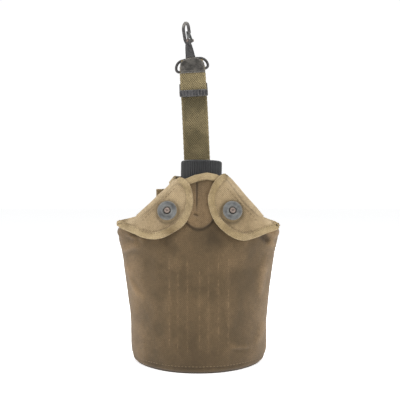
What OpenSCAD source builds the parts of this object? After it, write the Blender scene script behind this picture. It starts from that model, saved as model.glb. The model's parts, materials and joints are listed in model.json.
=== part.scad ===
// One-quart field canteen in a canvas cover, with a web hanging strap and a snap hook.
// The origin is at the middle of the flat base, +Z is up and the front faces -Y.

/* [Cover] */
// Thickness of the cover's canvas
canvas_t = 1.4; // [1:0.1:1.8]
// Thickness of the felt lining
felt_t = 2.6; // [2:0.1:2.8]
// Height of the rim of the throat
throat_z = 172.5; // [171:0.5:174]
// Height of the binding on the throat
throat_binding_h = 6.5; // [5:0.5:8]
// How far the throat sits to the right of the base
throat_sway = 2.8; // [0:0.2:3]

/* [Bottle] */
// Wall of the bottle's metal
wall = 1; // [0.8:0.1:1.4]
// Height of the weld between the two shells
weld_z = 78; // [60:1:95]
// Outer diameter of the threaded neck
neck_d = 28.4; // [26:0.2:29]
// Height of the lip of the neck
neck_top = 178.4; // [176:0.1:179]
// Rise of the cap in one turn
thread_pitch = 4; // [3:0.5:4]

/* [Cap] */
// Diameter of the cap inside its ribs
cap_d = 36.4; // [35:0.2:37]
// Height of the cap
cap_h = 24.5; // [20:0.5:24.5]
// Number of grip ribs
cap_ribs = 60; // [40:2:72]
// Height of the grip ribs
rib_h = 0.5; // [0.3:0.1:0.6]

/* [Snaps] */
// Diameter of a snap socket
socket_d = 16.8; // [15:0.2:17]
// Diameter of the hole in a socket
socket_hole_d = 6.4; // [6:0.1:7]
// Diameter of a stud's head
stud_d = 5; // [4.4:0.1:5.2]

/* [Strap] */
// Width of the webbing
web_w = 25.4; // [24:0.2:26]
// Thickness of the main strap
web_t = 2; // [1.6:0.1:2.2]
// Lean of the strap to the left, in degrees
strap_lean = 3; // [0:0.5:4]
// Lean of the swivel loop on the strap, in degrees
loop_lean = 6; // [0:0.5:6]
// Turn of the hook about its swivel, in degrees
hook_turn = -62; // [-90:1:90]

/* [Hook] */
// Thickness of the hook's flat stock
hook_t = 2.6; // [2:0.1:3]
// Radius inside the bend of the hook
bend_r = 4; // [3.8:0.1:4.4]
// Width of the stock in the bend
stock_w = 3; // [2.6:0.1:3.2]

/* [Hidden] */
$fn = 48;

canvas = "#6b5840";
canvas_light = "#a58c69";
webbing = "#6a5f41";
felt = "#4d4a40";
steel = "#9a9c9e";
black_metal = "#34363a";
snap_metal = "#6f7070";
black_plastic = "#242422";

// A form is five tables against height: half width, depth to the front and to the back at the
// middle, how far the two sides bend back, and how square the section is (2 is an ellipse).
cover_form = [
    [[0, 57], [2, 60], [6, 61.8], [14, 62.4], [38, 62.4], [56, 64.6], [78, 67.6], [100, 70.8],
        [114, 73.6], [124, 72.6], [129, 66], [133, 59], [168, 24.5], [173, 22]],
    [[0, 32.5], [2, 35], [6, 36.6], [14, 37], [108, 37], [125, 34], [138, 31], [150, 27.5],
        [160, 24.5], [173, 21.5]],
    [[0, 26], [2, 28.8], [6, 29.8], [14, 30], [115, 30], [140, 29], [160, 27.5], [173, 26.5]],
    [[0, 17], [105, 17], [125, 8], [135, 4], [168, 0]],
    [[0, 2.4], [100, 2.4], [120, 3.5], [135, 6], [160, 5], [173, 2.6]]];
bottle_form = [
    [[5, 50], [8, 54.5], [14, 56.4], [38, 56.6], [56, 58.6], [78, 61.2], [100, 62.4], [112, 60.5],
        [122, 55.5], [132, 46.5], [142, 34], [149, 21], [153, 15.2]],
    [[5, 26], [8, 29.4], [14, 31], [108, 31], [120, 28.5], [132, 25], [142, 20.5], [149, 17],
        [153, 15.2]],
    [[5, 20], [8, 22.8], [14, 24], [115, 24], [132, 22.5], [142, 19.5], [149, 16.5], [153, 15.2]],
    [[5, 17], [105, 17], [125, 9], [140, 3], [153, 0]],
    [[5, 2.4], [110, 2.4], [125, 2.6], [145, 2.1], [153, 2]]];

bottle_z0 = 6;           // underside of the bottle
bottle_lean = 0.9;       // the bottle leans this much to the right in its cover, in degrees
sway_from_z = 110;       // the cover follows it from this height
shoulder_z = 153;        // where the shoulder meets the neck
felt_gap = 0.9;          // from the bottle to the felt
felt_top = 148;
ring_steps = 36;         // points round a section

snap_x = 27.5;           // middle of the right snap
snap_z = 138;
flap_in = 1.6;           // heights of the flap over the cover's surface
flap_out = 3.2;

cap_z0 = throat_z + 11.5 - cap_h;
cap_top = cap_z0 + cap_h;
cap_bore_d = 32;
pin_d = 2.6;

strap_y = 31.2;          // front face of the main strap
strap_mid_y = strap_y + web_t / 2;
band_top = 158.6;
hinge_z = 162;           // the strap leans from here; it swings over the band's top edge
tip_z = 272.3;
tip_w = 23.6;
buckle_z = 249;
rear_bar_d = 3;
rear_bar = [41, 261];  // y and z of the buckle's rear bar
wire_d = 2.7;
loop_bar = [41, 277.5];
loop_h = 10.8;           // from the loop's bar to the middle of its flat top
stem_d = 4;
bend_up = 30.7;          // height of the bend's middle over the flat top
pivot = [4.4, 17.6];     // gate pin, across and up from the flat top

function section(form, z) = [for (table = form) lookup(z, table)];
function signed_power(v, p) = sign(v) * pow(abs(v), p);

function sway(form, z) = form == cover_form ? lookup(z, [[sway_from_z, 0], [throat_z, throat_sway]]) : 0;

// A point of a form's section, grown outward by d: t turns from the right over the back.
function ring_point(form, t, z, d) =
    let (s = section(form, z), half = (s[1] + s[2]) / 2 + d, u = signed_power(cos(t), 2 / s[4]))
    [(s[0] + d) * u + sway(form, z),
        (s[2] - s[1]) / 2 + s[3] * u * u + half * signed_power(sin(t), 2 / s[4]), z];

// The depth of the cover's front surface, grown outward by d, at a point z high and off from the
// middle of the section.
function front_y(off, z, d) =
    let (s = section(cover_form, z), half = (s[1] + s[2]) / 2 + d, u = abs(off) / (s[0] + d))
    (s[2] - s[1]) / 2 + s[3] * u * u - half * pow(max(0, 1 - pow(u, s[4])), 1 / s[4]);

function quad(a, b, c, d) = [[a, b, c], [a, c, d]];
function flat(lists) = [for (list = lists) for (item = list) item];

// A wall between two offsets of a form, from angle t0 to t1: a full turn closes on itself.
module form_wall(form, d_in, d_out, levels, t0, t1) {
    closed = t1 - t0 == 360;
    n = round(ring_steps * (t1 - t0) / 360);
    m = closed ? n : n + 1;
    top = len(levels) - 1;
    function at(i, j, skin) = (i * m + j % m) * 2 + skin;
    points = [for (z = levels) for (j = [0:m - 1]) for (d = [d_in, d_out])
        ring_point(form, t0 + (t1 - t0) * j / n, z, d)];
    skins = [for (i = [0:top - 1]) for (j = [0:n - 1]) concat(
        quad(at(i, j, 1), at(i + 1, j, 1), at(i + 1, j + 1, 1), at(i, j + 1, 1)),
        quad(at(i, j, 0), at(i, j + 1, 0), at(i + 1, j + 1, 0), at(i + 1, j, 0)))];
    rims = [for (j = [0:n - 1]) concat(
        quad(at(0, j, 1), at(0, j + 1, 1), at(0, j + 1, 0), at(0, j, 0)),
        quad(at(top, j, 1), at(top, j, 0), at(top, j + 1, 0), at(top, j + 1, 1)))];
    ends = closed ? [] : [for (i = [0:top - 1]) concat(
        quad(at(i, 0, 1), at(i, 0, 0), at(i + 1, 0, 0), at(i + 1, 0, 1)),
        quad(at(i, n, 1), at(i + 1, n, 1), at(i + 1, n, 0), at(i, n, 0)))];
    polyhedron(points, flat(concat(skins, rims, ends)));
}

// A solid slab of a form between two heights.
module form_slab(form, d, z0, z1) {
    m = ring_steps;
    points = [for (z = [z0, z1]) for (j = [0:m - 1]) ring_point(form, 360 * j / m, z, d)];
    sides = [for (j = [0:m - 1]) quad(j, m + j, m + (j + 1) % m, (j + 1) % m)];
    ends = [[for (j = [0:m - 1]) j], [for (j = [m - 1:-1:0]) m + j]];
    polyhedron(points, concat(flat(sides), ends));
}

// The bottle's own frame leans about the middle of its underside.
module in_bottle() {
    translate([0, 0, bottle_z0]) rotate([0, bottle_lean, 0]) translate([0, 0, -bottle_z0]) children();
}

module bottle_lower_shell() {
    color(steel) in_bottle() {
        form_slab(bottle_form, 0, bottle_z0, bottle_z0 + wall);
        form_wall(bottle_form, -wall, 0, [bottle_z0 + wall, 9, 14, 38, 56, weld_z], 0, 360);
    }
}

module bottle_upper_shell() {
    levels = [weld_z, 100, 108, 115, 122, 127, 132, 137, 142, 149, shoulder_z];
    color(steel) in_bottle() form_wall(bottle_form, -wall, 0, levels, 0, 360);
}

module bottle_weld() {
    color(steel) in_bottle() form_wall(bottle_form, 0.05, 0.6, [weld_z - 1.4, weld_z, weld_z + 1.4], 0, 360);
}

module bottle_neck() {
    foot = shoulder_z + 0.1;
    color(steel) in_bottle() rotate_extrude() difference() {
        union() {
            translate([0, foot]) square([neck_d / 2, neck_top - foot]);
            for (turn = [0:2])
                translate([neck_d / 2 - 0.4, neck_top - 6 - thread_pitch * turn]) circle(d = 2.6, $fn = 24);
        }
        translate([-1, foot - 1]) square([neck_d / 2, neck_top]);
    }
}

module chain_lug() {
    color(steel) in_bottle() translate([0, neck_d / 2 + 2.52, 156.5]) rotate([0, 90, 0]) difference() {
        cylinder(d = 5, h = 1.6, center = true);
        cylinder(d = 2.4, h = 3, center = true);
    }
}

module rib_outline() {
    step = 360 / cap_ribs;
    polygon([for (k = [0:cap_ribs - 1]) for (p = [[0.1, 0], [0.35, rib_h], [0.65, rib_h], [0.9, 0]])
        (cap_d / 2 + p[1]) * [cos((k + p[0]) * step), sin((k + p[0]) * step)]]);
}

module cap_shell() {
    edge_r = 1.6;
    color(black_plastic) in_bottle() difference() {
        translate([0, 0, cap_z0]) union() {
            linear_extrude(cap_h - edge_r) rib_outline();
            rotate_extrude() union() {
                square([cap_d / 2 - 0.1, cap_h - edge_r]);
                square([cap_d / 2 - 0.1 - edge_r, cap_h]);
                translate([cap_d / 2 - 0.1 - edge_r, cap_h - edge_r]) circle(r = edge_r, $fn = 32);
            }
        }
        translate([0, 0, cap_z0 - 1]) cylinder(d = cap_bore_d, h = cap_h - 2);
        translate([0, 0, cap_top - 2]) cylinder(d = 25, h = 3);
        cylinder(d = pin_d + 0.2, h = cap_top + 1);
    }
}

module cap_gasket() {
    color("#3a2c22") in_bottle() translate([0, 0, neck_top + 0.1]) difference() {
        cylinder(d = cap_bore_d - 0.6, h = 2.2);
        translate([0, 0, -1]) cylinder(d = 18, h = 5);
    }
}

module cap_pin() {
    roof = cap_z0 + cap_h - 3;
    color(snap_metal) in_bottle() {
        translate([0, 0, roof - 1.2]) cylinder(d = 7, h = 1.1);
        translate([0, 0, roof - 1.2]) cylinder(d = pin_d, h = 4);
        translate([0, 0, roof + 2.5]) cylinder(d = 5, h = 0.9);
    }
}

// The chain runs from the pin over the rear rim of the cap and down to the lug.
chain_path = [[3.8, 183.1], [9, 184], [12, 185.2], [17, 185.4], [21, 183.8], [22.6, 178], [22.6, 168],
    [21.4, 161], [19.6, 157.5]];
chain_r = 0.9;

module cap_chain() {
    m = 8;
    last = len(chain_path) - 1;
    function along(i) =
        let (d = chain_path[min(last, i + 1)] - chain_path[max(0, i - 1)]) d / norm(d);
    points = [for (i = [0:last]) for (j = [0:m - 1])
        let (d = along(i), side = chain_r * cos(360 * j / m), out = chain_r * sin(360 * j / m))
        [side, chain_path[i][0] - d[1] * out, chain_path[i][1] + d[0] * out]];
    skin = [for (i = [0:last - 1]) for (j = [0:m - 1])
        quad(i * m + j, i * m + (j + 1) % m, (i + 1) * m + (j + 1) % m, (i + 1) * m + j)];
    ends = [[for (j = [m - 1:-1:0]) j], [for (j = [0:m - 1]) last * m + j]];
    color(snap_metal) in_bottle() polyhedron(points, concat(flat(skin), ends));
}

// The left side is drawn as a right one and mirrored, with the sway turned about.
function hand(side) = side == "left" ? -1 : 1;
function side_x(side, off, z) = off + hand(side) * sway(cover_form, z);

// Puts +Z along the outward direction of the cover at a snap, d above the surface.
slope_x = (front_y(snap_x + 4, snap_z, 0) - front_y(snap_x - 4, snap_z, 0)) / 8;
slope_z = (front_y(snap_x, snap_z + 5, 0) - front_y(snap_x, snap_z - 5, 0)) / 10;
module at_snap(side, d) {
    translate([side_x(side, snap_x, snap_z), front_y(snap_x, snap_z, 0), snap_z])
        rotate([0, acos(slope_z / norm([slope_x, 1, slope_z])), atan2(-1, slope_x)])
        translate([0, 0, d]) children();
}

module on_side(side) {
    mirror([side == "left" ? 1 : 0, 0, 0]) children();
}

module stud_hole(side) {
    on_side(side) at_snap(side, -6) cylinder(d = 3.6, h = 8);
}

cover_levels = [canvas_t, 6, 14, 38, 56, 78, 100, 108, 114, 119, 124, 129, 133, 138, 150, 160, 168, throat_z];

module cover_front() {
    color(canvas) difference() {
        form_wall(cover_form, -canvas_t, 0, cover_levels, 180, 360);
        for (side = ["left", "right"]) stud_hole(side);
    }
}

module cover_back() {
    color(canvas) form_wall(cover_form, -canvas_t, 0, cover_levels, 0, 180);
}

module cover_bottom() {
    color(canvas) form_slab(cover_form, 0, 0, canvas_t);
}

felt_levels = [bottle_z0, 9, 14, 38, 56, 78, 100, 108, 115, 122, 127, 132, 137, 142, felt_top];

module felt_front() {
    color(felt) in_bottle() form_wall(bottle_form, felt_gap, felt_gap + felt_t, felt_levels, 180, 360);
}

module felt_back() {
    color(felt) in_bottle() form_wall(bottle_form, felt_gap, felt_gap + felt_t, felt_levels, 0, 180);
}

module felt_bottom() {
    color(felt) in_bottle() form_slab(bottle_form, felt_gap, bottle_z0 - felt_t - 0.6, bottle_z0 - 0.6);
}

module throat_binding() {
    levels = [throat_z - throat_binding_h, throat_z - throat_binding_h / 2, throat_z];
    color(canvas_light) form_wall(cover_form, 0.2, 1.2, levels, 245, 295);
}

// The flap's depth: it follows the cover's front, and then runs on straight as an ear.
function flap_y(off, z, d) =
    let (edge = min(off, 0.72 * (section(cover_form, z)[0] + d)))
    front_y(edge, z, d) + (off - edge) * 0.4;

// A flap's outline, off from the middle and up: its first two points are the ends of the fold.
flap_outline = [[24.5, 164.5], [55, 134], [59.6, 128.6], [61.5, 124], [58, 119.5], [49, 116], [39, 114.6],
    [29, 116.6], [19.5, 122.4], [12, 131], [8, 141], [7.6, 150.5], [10.4, 159.5], [15.5, 166], [20.5, 167.5]];
flap_corners = len(flap_outline);
flap_parts = 3;          // rays between two outline points
binding_share = 0.8;     // where the binding starts, from the snap to the outline
hole_r = 5;

function spline(a, b, c, d, t) =
    b + (c - a) * t / 2 + (2 * a - 5 * b + 4 * c - d) * t * t / 2 + (3 * b - a - 3 * c + d) * t * t * t / 2;
function corner(i) = flap_outline[(i + flap_corners) % flap_corners];
function edge_point(k) =
    let (i = floor(k / flap_parts), t = k / flap_parts - i)
    i % flap_corners == 0 ? corner(i) + (corner(i + 1) - corner(i)) * t :
    spline(i % flap_corners == 1 ? corner(i) : corner(i - 1), corner(i), corner(i + 1),
        i % flap_corners == flap_corners - 1 ? corner(i + 1) : corner(i + 2), t);
flap_rays = flap_corners * flap_parts;
// A point on ray k, a share of the way from the snap to the outline.
function ray_point(k, share) =
    let (e = edge_point(k), s = [snap_x, snap_z], r = norm(e - s))
    s + (e - s) * max(hole_r / r, share);
function is_fold(k) = k <= flap_parts;

// A plate over the cover's front between two shares, along rays k0 to k1.
module flap_plate(side, d_in, d_out, shares, k0, k1, full_fold) {
    closed = k1 - k0 == flap_rays;
    n = k1 - k0;
    m = closed ? n : n + 1;
    top = len(shares) - 1;
    function at(i, j, skin) = (i * m + j % m) * 2 + skin;
    function share_at(i, k) = i == top && full_fold && is_fold(k % flap_rays) ? 1 : shares[i];
    points = [for (i = [0:top]) for (j = [0:m - 1]) for (d = [d_in, d_out])
        let (p = ray_point(k0 + j, share_at(i, k0 + j)))
        [side_x(side, p[0], p[1]), flap_y(p[0], p[1], d), p[1]]];
    skins = [for (i = [0:top - 1]) for (j = [0:n - 1]) concat(
        quad(at(i, j, 1), at(i, j + 1, 1), at(i + 1, j + 1, 1), at(i + 1, j, 1)),
        quad(at(i, j, 0), at(i + 1, j, 0), at(i + 1, j + 1, 0), at(i, j + 1, 0)))];
    rims = [for (j = [0:n - 1]) concat(
        quad(at(0, j, 1), at(0, j, 0), at(0, j + 1, 0), at(0, j + 1, 1)),
        quad(at(top, j, 1), at(top, j + 1, 1), at(top, j + 1, 0), at(top, j, 0)))];
    ends = closed ? [] : [for (i = [0:top - 1]) concat(
        quad(at(i, 0, 1), at(i + 1, 0, 1), at(i + 1, 0, 0), at(i, 0, 0)),
        quad(at(i, n, 1), at(i, n, 0), at(i + 1, n, 0), at(i + 1, n, 1)))];
    polyhedron(points, flat(concat(skins, rims, ends)));
}

module flap(side) {
    color(canvas_light) on_side(side)
        flap_plate(side, flap_in, flap_out, [0, 0.42, 0.62, binding_share - 0.01], 0, flap_rays, true);
}
module flap_left() { flap("left"); }
module flap_right() { flap("right"); }

module flap_binding(side) {
    shares = [binding_share, 0.9, 1];
    color(canvas_light) on_side(side)
        flap_plate(side, flap_in - 0.2, flap_out + 0.2, shares, flap_parts + 1, flap_rays - 1, false);
}
module flap_binding_left() { flap_binding("left"); }
module flap_binding_right() { flap_binding("right"); }

// A snap socket: a dished disc with a raised hub, and a tube through the flap.
module snap_socket(side) {
    r = socket_d / 2;
    hole = socket_hole_d / 2;
    color(snap_metal) on_side(side) at_snap(side, flap_out + 0.25) rotate_extrude() difference() {
        union() {
            square([r - 0.6, 0.9]);
            translate([r - 0.6, 0.6]) circle(r = 0.6, $fn = 24);
            square([5, 1.3]);
            translate([4.6, 1.1]) circle(r = 0.5, $fn = 24);
            translate([0, -2.35]) square([3.9, 2.4]);
        }
        translate([-1, -4]) square([hole + 1, 8]);
    }
}
module snap_socket_left() { snap_socket("left"); }
module snap_socket_right() { snap_socket("right"); }

module snap_backplate(side) {
    color(snap_metal) on_side(side) at_snap(side, flap_in - 0.8) difference() {
        cylinder(d = 13, h = 0.3);
        translate([0, 0, -1]) cylinder(d = 7, h = 3);
    }
}
module snap_backplate_left() { snap_backplate("left"); }
module snap_backplate_right() { snap_backplate("right"); }

module snap_stud(side) {
    r = stud_d / 2;
    color(snap_metal) on_side(side) at_snap(side, 0) rotate_extrude() union() {
        translate([0, 0.05]) square([5, 0.45]);
        translate([0, -2.7]) square([1.6, 7.3]);
        translate([0, 3.9]) square([r - 0.6, 2.2]);
        intersection() {
            translate([r - 1.1, 4.9]) circle(r = 1.1, $fn = 24);
            square([r, 8]);
        }
    }
}
module snap_stud_left() { snap_stud("left"); }
module snap_stud_right() { snap_stud("right"); }

module stud_washer(side) {
    color(snap_metal) on_side(side) at_snap(side, -canvas_t - 1.2) difference() {
        cylinder(d = 9, h = 0.5);
        translate([0, 0, -1]) cylinder(d = 3.3, h = 3);
    }
}
module stud_washer_left() { stud_washer("left"); }
module stud_washer_right() { stud_washer("right"); }

module back_web_band() {
    half = 40;
    inner = strap_y + web_t + 0.3;
    outline = [[-half, inner - 1.4], [-17, inner], [17, inner], [half, inner - 1.4]];
    color(webbing) translate([0, 0, 116]) linear_extrude(band_top - 116)
        polygon(concat(outline, [for (i = [3:-1:0]) outline[i] + [0, 1.8]]));
}

module strap_root() {
    color(webbing) translate([-web_w / 2, strap_y, 98]) cube([web_w, web_t, hinge_z - 1.6 - 98]);
}

// The strap's own frame leans about the hinge at the top of the band.
module in_strap() {
    translate([0, strap_mid_y, hinge_z]) rotate([0, -strap_lean, 0])
        translate([0, -strap_mid_y, -hinge_z]) children();
}

// A plate across the strap with a rounded top, between two depths.
module round_top(w, z0, z1, y0, y1) {
    arc_r = 16;
    translate([0, y1, 0]) rotate([90, 0, 0]) linear_extrude(y1 - y0) intersection() {
        translate([-w / 2, z0]) square([w, z1 - z0]);
        translate([0, z1 - arc_r]) circle(r = arc_r, $fn = 96);
    }
}

module main_strap() {
    color(webbing) in_strap() union() {
        translate([-web_w / 2, strap_y, hinge_z + 0.6]) cube([web_w, web_t, tip_z - 1 - hinge_z - 0.6]);
        round_top(tip_w - 1.6, tip_z - 1.5, tip_z + 14.4, strap_y, strap_y + web_t);
    }
}

module strap_tip() {
    color(black_metal) in_strap() difference() {
        round_top(tip_w, tip_z, tip_z + 15.3, strap_y - 0.7, strap_y + web_t + 0.6);
        round_top(tip_w - 1.4, tip_z - 1, tip_z + 14.5, strap_y - 0.1, strap_y + web_t + 0.1);
    }
}

module rod(x0, x1, y, z, d) {
    translate([x0, y, z]) rotate([0, 90, 0]) cylinder(d = d, h = x1 - x0);
}

module strap_buckle() {
    half = 13.9;
    bar_h = 6.6;
    color(black_metal) in_strap() union() {
        translate([0, strap_y - 0.5, 0]) rotate([90, 0, 0]) linear_extrude(2.2) union() {
            translate([-half + 1.5, buckle_z]) square([2 * half - 3, bar_h]);
            translate([-half, buckle_z + 1.5]) square([2 * half, bar_h - 3]);
            for (x = [-1, 1], z = [1.5, bar_h - 1.5])
                translate([x * (half - 1.5), buckle_z + z]) circle(r = 1.5, $fn = 24);
        }
        for (x = [-half, half - 0.9]) difference() {
            union() {
                translate([x, strap_y - 1.5, buckle_z + 1.5]) cube([0.9, rear_bar[0] - strap_y + 1.5, 12]);
                rod(x, x + 0.9, rear_bar[0], rear_bar[1], 6.2);
            }
            translate([x - 1, strap_y - 2.6, buckle_z + bar_h]) cube([3, 3.4, 10]);
        }
        rod(-half + 0.5, half - 0.5, rear_bar[0], rear_bar[1], rear_bar_d);
    }
}

module hook_strap() {
    w = web_w - 0.2;
    ply = 1.4;
    slot_h = 5.9;
    lift = (slot_h - wire_d) / 2;
    inner = wire_d / 2 + 0.1;
    module eyes(grow) {
        translate(rear_bar) circle(d = rear_bar_d + 0.2 + grow);
        for (z = [-lift, lift]) translate(loop_bar + [0, z]) circle(d = 2 * inner + grow);
    }
    color(webbing) in_strap() translate([-w / 2, 0, 0]) rotate([90, 0, 90]) linear_extrude(w) difference() {
        union() {
            eyes(2 * ply);
            translate([loop_bar[0] - ply, rear_bar[1]]) square([2 * ply, loop_bar[1] - rear_bar[1]]);
            translate(loop_bar - [inner + ply, lift]) square([2 * (inner + ply), 2 * lift]);
        }
        eyes(0);
        translate(loop_bar - [inner, lift]) square([2 * inner, 2 * lift]);
    }
}

// The loop's frame has its origin at the middle of its bar.
module in_loop() {
    in_strap() translate([0, loop_bar[0], loop_bar[1]]) rotate([0, -loop_lean, 0]) children();
}

module swivel_loop() {
    side_x = 15.9;
    low_r = 2.9;
    high_r = loop_h - low_r;
    module bend(x, z, r, from) {
        translate([x, 0, z]) rotate([90, 0, 0]) rotate([0, 0, from]) rotate_extrude(angle = 90)
            translate([r, 0]) circle(d = wire_d, $fn = 24);
    }
    color(black_metal) in_loop() difference() {
        union() {
            rod(-side_x + low_r, side_x - low_r, 0, 0, wire_d);
            bend(side_x - low_r, low_r, low_r, 270);
            bend(-side_x + low_r, low_r, low_r, 180);
            bend(side_x - high_r, low_r, high_r, 0);
            bend(-side_x + high_r, low_r, high_r, 90);
            translate([high_r - side_x, -3.2, loop_h - 1]) cube([2 * (side_x - high_r), 6.4, 2]);
        }
        translate([0, 0, loop_h - 3]) cylinder(d = stem_d + 0.1, h = 6);
    }
}

// The hook's frame has its origin at the middle of the loop's flat top.
module in_hook() {
    in_loop() translate([0, 0, loop_h]) rotate([0, 0, hook_turn]) children();
}

// Draws a shape given across and up as a plate of thickness t in the hook's plane.
module hook_plate(t) {
    translate([0, t / 2, 0]) rotate([90, 0, 0]) linear_extrude(t) children();
}

module hook_body() {
    outer = bend_r + stock_w;
    neck_z = 14;
    color(black_metal) in_hook() difference() {
        union() {
            translate([0, 0, -2.9]) cylinder(d = stem_d, h = 6);
            translate([0, 0, 1.3]) cylinder(d1 = 9.6, d2 = 6.6, h = neck_z - 0.3);
            hook_plate(hook_t) union() {
                difference() {
                    translate([0, bend_up]) circle(r = outer, $fn = 96);
                    translate([0, bend_up]) circle(r = bend_r, $fn = 96);
                    translate([-outer, bend_up - 2 * outer]) square([2 * outer, 2 * outer]);
                }
                polygon([[-2.6, neck_z - 1], [3.2, neck_z - 1], [6, 16.6], [6, 18.6], [3.2, 19.4],
                    [-1.6, 19.2], [-bend_r, 22.4], [-bend_r, bend_up], [-outer, bend_up], [-outer, 21.5],
                    [-4.6, 17]]);
                translate([bend_r, 25.4]) square([stock_w, bend_up - 25.4]);
                translate([bend_r + stock_w / 2, 25.4]) circle(d = stock_w, $fn = 32);
            }
        }
        translate([pivot[0], 0, pivot[1]]) rotate([90, 0, 0])
            cylinder(d = 1.6, h = 8, center = true, $fn = 24);
    }
}

module swivel_head() {
    color(black_metal) in_hook() translate([0, 0, -2.9]) difference() {
        cylinder(d = 6.2, h = 1.6);
        translate([0, 0, -1]) cylinder(d = stem_d + 0.02, h = 4);
    }
}

// The gate: two ears on the pin and a strip up to the inner side of the nose.
module hook_gate() {
    ear_in = hook_t / 2 + 0.2;
    ear_t = 0.6;
    w = hook_t + 0.4 + 2 * ear_t;
    color(snap_metal) in_hook() difference() {
        union() {
            for (y = [-ear_in, ear_in + ear_t])
                translate([0, y, 0]) rotate([90, 0, 0]) linear_extrude(ear_t) {
                    translate(pivot) circle(d = 4.2, $fn = 32);
                    polygon([pivot + [-2.1, 0], pivot + [2.1, 0],
                        [bend_r - 0.3, 24.5], [bend_r - 1.2, 24.5]]);
                }
            hook_plate(w) polygon([[2.8, 20.4], [3.8, 20.4], [bend_r - 0.3, 27], [bend_r - 1.1, 27]]);
        }
        translate([pivot[0], 0, pivot[1]]) rotate([90, 0, 0])
            cylinder(d = 1.7, h = 12, center = true, $fn = 24);
    }
}

module gate_pin() {
    reach = hook_t / 2 + 2.1;
    color(snap_metal) in_hook() translate([pivot[0], 0, pivot[1]]) rotate([90, 0, 0]) union() {
        cylinder(d = 1.58, h = 2 * reach, center = true, $fn = 24);
        for (z = [-reach - 0.3, reach - 0.3]) translate([0, 0, z]) cylinder(d = 2.6, h = 0.6, $fn = 24);
    }
}

module gate_spring() {
    color(snap_metal) in_hook() for (side = [-1, 1])
        translate([pivot[0], side * (hook_t / 2 + 1.3), pivot[1]]) rotate([90, 0, 0]) rotate_extrude()
            translate([1.3, 0]) circle(d = 0.5, $fn = 16);
}

bottle_lower_shell();
bottle_upper_shell();
bottle_weld();
bottle_neck();
chain_lug();
cap_shell();
cap_gasket();
cap_pin();
cap_chain();
cover_front();
cover_back();
cover_bottom();
felt_front();
felt_back();
felt_bottom();
throat_binding();
flap_left();
flap_right();
flap_binding_left();
flap_binding_right();
snap_socket_left();
snap_socket_right();
snap_backplate_left();
snap_backplate_right();
snap_stud_left();
snap_stud_right();
stud_washer_left();
stud_washer_right();
back_web_band();
strap_root();
main_strap();
strap_tip();
strap_buckle();
hook_strap();
swivel_loop();
hook_body();
swivel_head();
hook_gate();
gate_pin();
gate_spring();
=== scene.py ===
import json
import math

import bmesh
import bpy
import numpy as np
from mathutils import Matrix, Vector, noise


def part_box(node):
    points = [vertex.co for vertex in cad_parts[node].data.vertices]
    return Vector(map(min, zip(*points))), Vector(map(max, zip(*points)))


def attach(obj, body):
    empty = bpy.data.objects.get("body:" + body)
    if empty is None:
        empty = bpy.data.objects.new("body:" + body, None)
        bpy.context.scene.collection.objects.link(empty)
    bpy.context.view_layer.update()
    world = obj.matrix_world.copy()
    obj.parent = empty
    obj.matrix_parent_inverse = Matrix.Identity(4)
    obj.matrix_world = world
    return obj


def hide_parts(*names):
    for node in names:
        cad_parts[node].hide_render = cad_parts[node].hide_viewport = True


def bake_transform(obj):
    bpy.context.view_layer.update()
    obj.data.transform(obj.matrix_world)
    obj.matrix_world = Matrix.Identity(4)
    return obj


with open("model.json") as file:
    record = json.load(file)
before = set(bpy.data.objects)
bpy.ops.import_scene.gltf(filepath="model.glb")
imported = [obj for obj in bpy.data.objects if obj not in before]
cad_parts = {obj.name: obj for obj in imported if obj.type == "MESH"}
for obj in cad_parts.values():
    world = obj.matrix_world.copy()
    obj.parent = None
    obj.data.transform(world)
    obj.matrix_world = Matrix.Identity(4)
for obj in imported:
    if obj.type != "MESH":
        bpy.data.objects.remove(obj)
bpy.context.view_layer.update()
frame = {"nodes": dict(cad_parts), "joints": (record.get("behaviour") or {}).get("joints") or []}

# A field canteen in a canvas cover. Lengths are millimetres until a mesh is made.
MM = 0.001
WELD_REACH = 1e-7

# ---------------------------------------------------------------- places, from the frame
joints = {j["name"]: j for j in frame["joints"]}


def joint_at(name):
    """The joint's point in millimetres and its axis."""
    j = joints[name]
    place = np.array(j.get("pos_m", [0, 0, 0]), float) / MM
    axis = np.array(j["axis"], float)
    return place, axis / np.linalg.norm(axis)


def node_box(name):
    lo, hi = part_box(name)
    return np.array(lo) / MM, np.array(hi) / MM


_, strap_up = joint_at("buckle_slide")
loop_bar, loop_across = joint_at("loop_swing")
hook_base, hook_up = joint_at("hook_swivel")
_, gate_axis = joint_at("gate_press")
rear_bar, strap_across = joint_at("hook_strap_fold")
cap_foot, bottle_up = joint_at("cap_turn")

WEB_W = 25.4
WEB_T = 2.0
REAR_BAR_Z = 261.0      # in the strap's frame
CANVAS_T = 1.4
STRAP_Y = 32.2
TIP_Y = STRAP_Y - 0.05
TIP_LOW = 272.3
LEAN_Z = 162.0
THROAT_Z = node_box("cover_front")[1][2]
THROAT_SWAY = 2.8
SWAY_FROM = 110.0

# Tables of the cover against height: half width, depth in front and behind at the middle, how
# far the sides bend back, and how square the section is.
COVER = {
    "width": [(0, 57), (2, 60), (6, 61.8), (14, 62.4), (38, 62.4), (56, 64.6), (78, 67.6), (100, 70.8),
              (114, 73.6), (124, 72.6), (129, 66), (133, 59), (168, 24.5), (173, 22)],
    "front": [(0, 32.5), (2, 35), (6, 36.6), (14, 37), (108, 37), (125, 34), (138, 31), (150, 27.5),
              (160, 24.5), (173, 21.5)],
    "back": [(0, 26), (2, 28.8), (6, 29.8), (14, 30), (115, 30), (140, 29), (160, 27.5), (173, 26.5)],
    "bend": [(0, 17), (105, 17), (125, 8), (135, 4), (168, 0)],
    "square": [(0, 2.4), (100, 2.4), (120, 3.5), (135, 6), (160, 5), (173, 2.6)],
}


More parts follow.
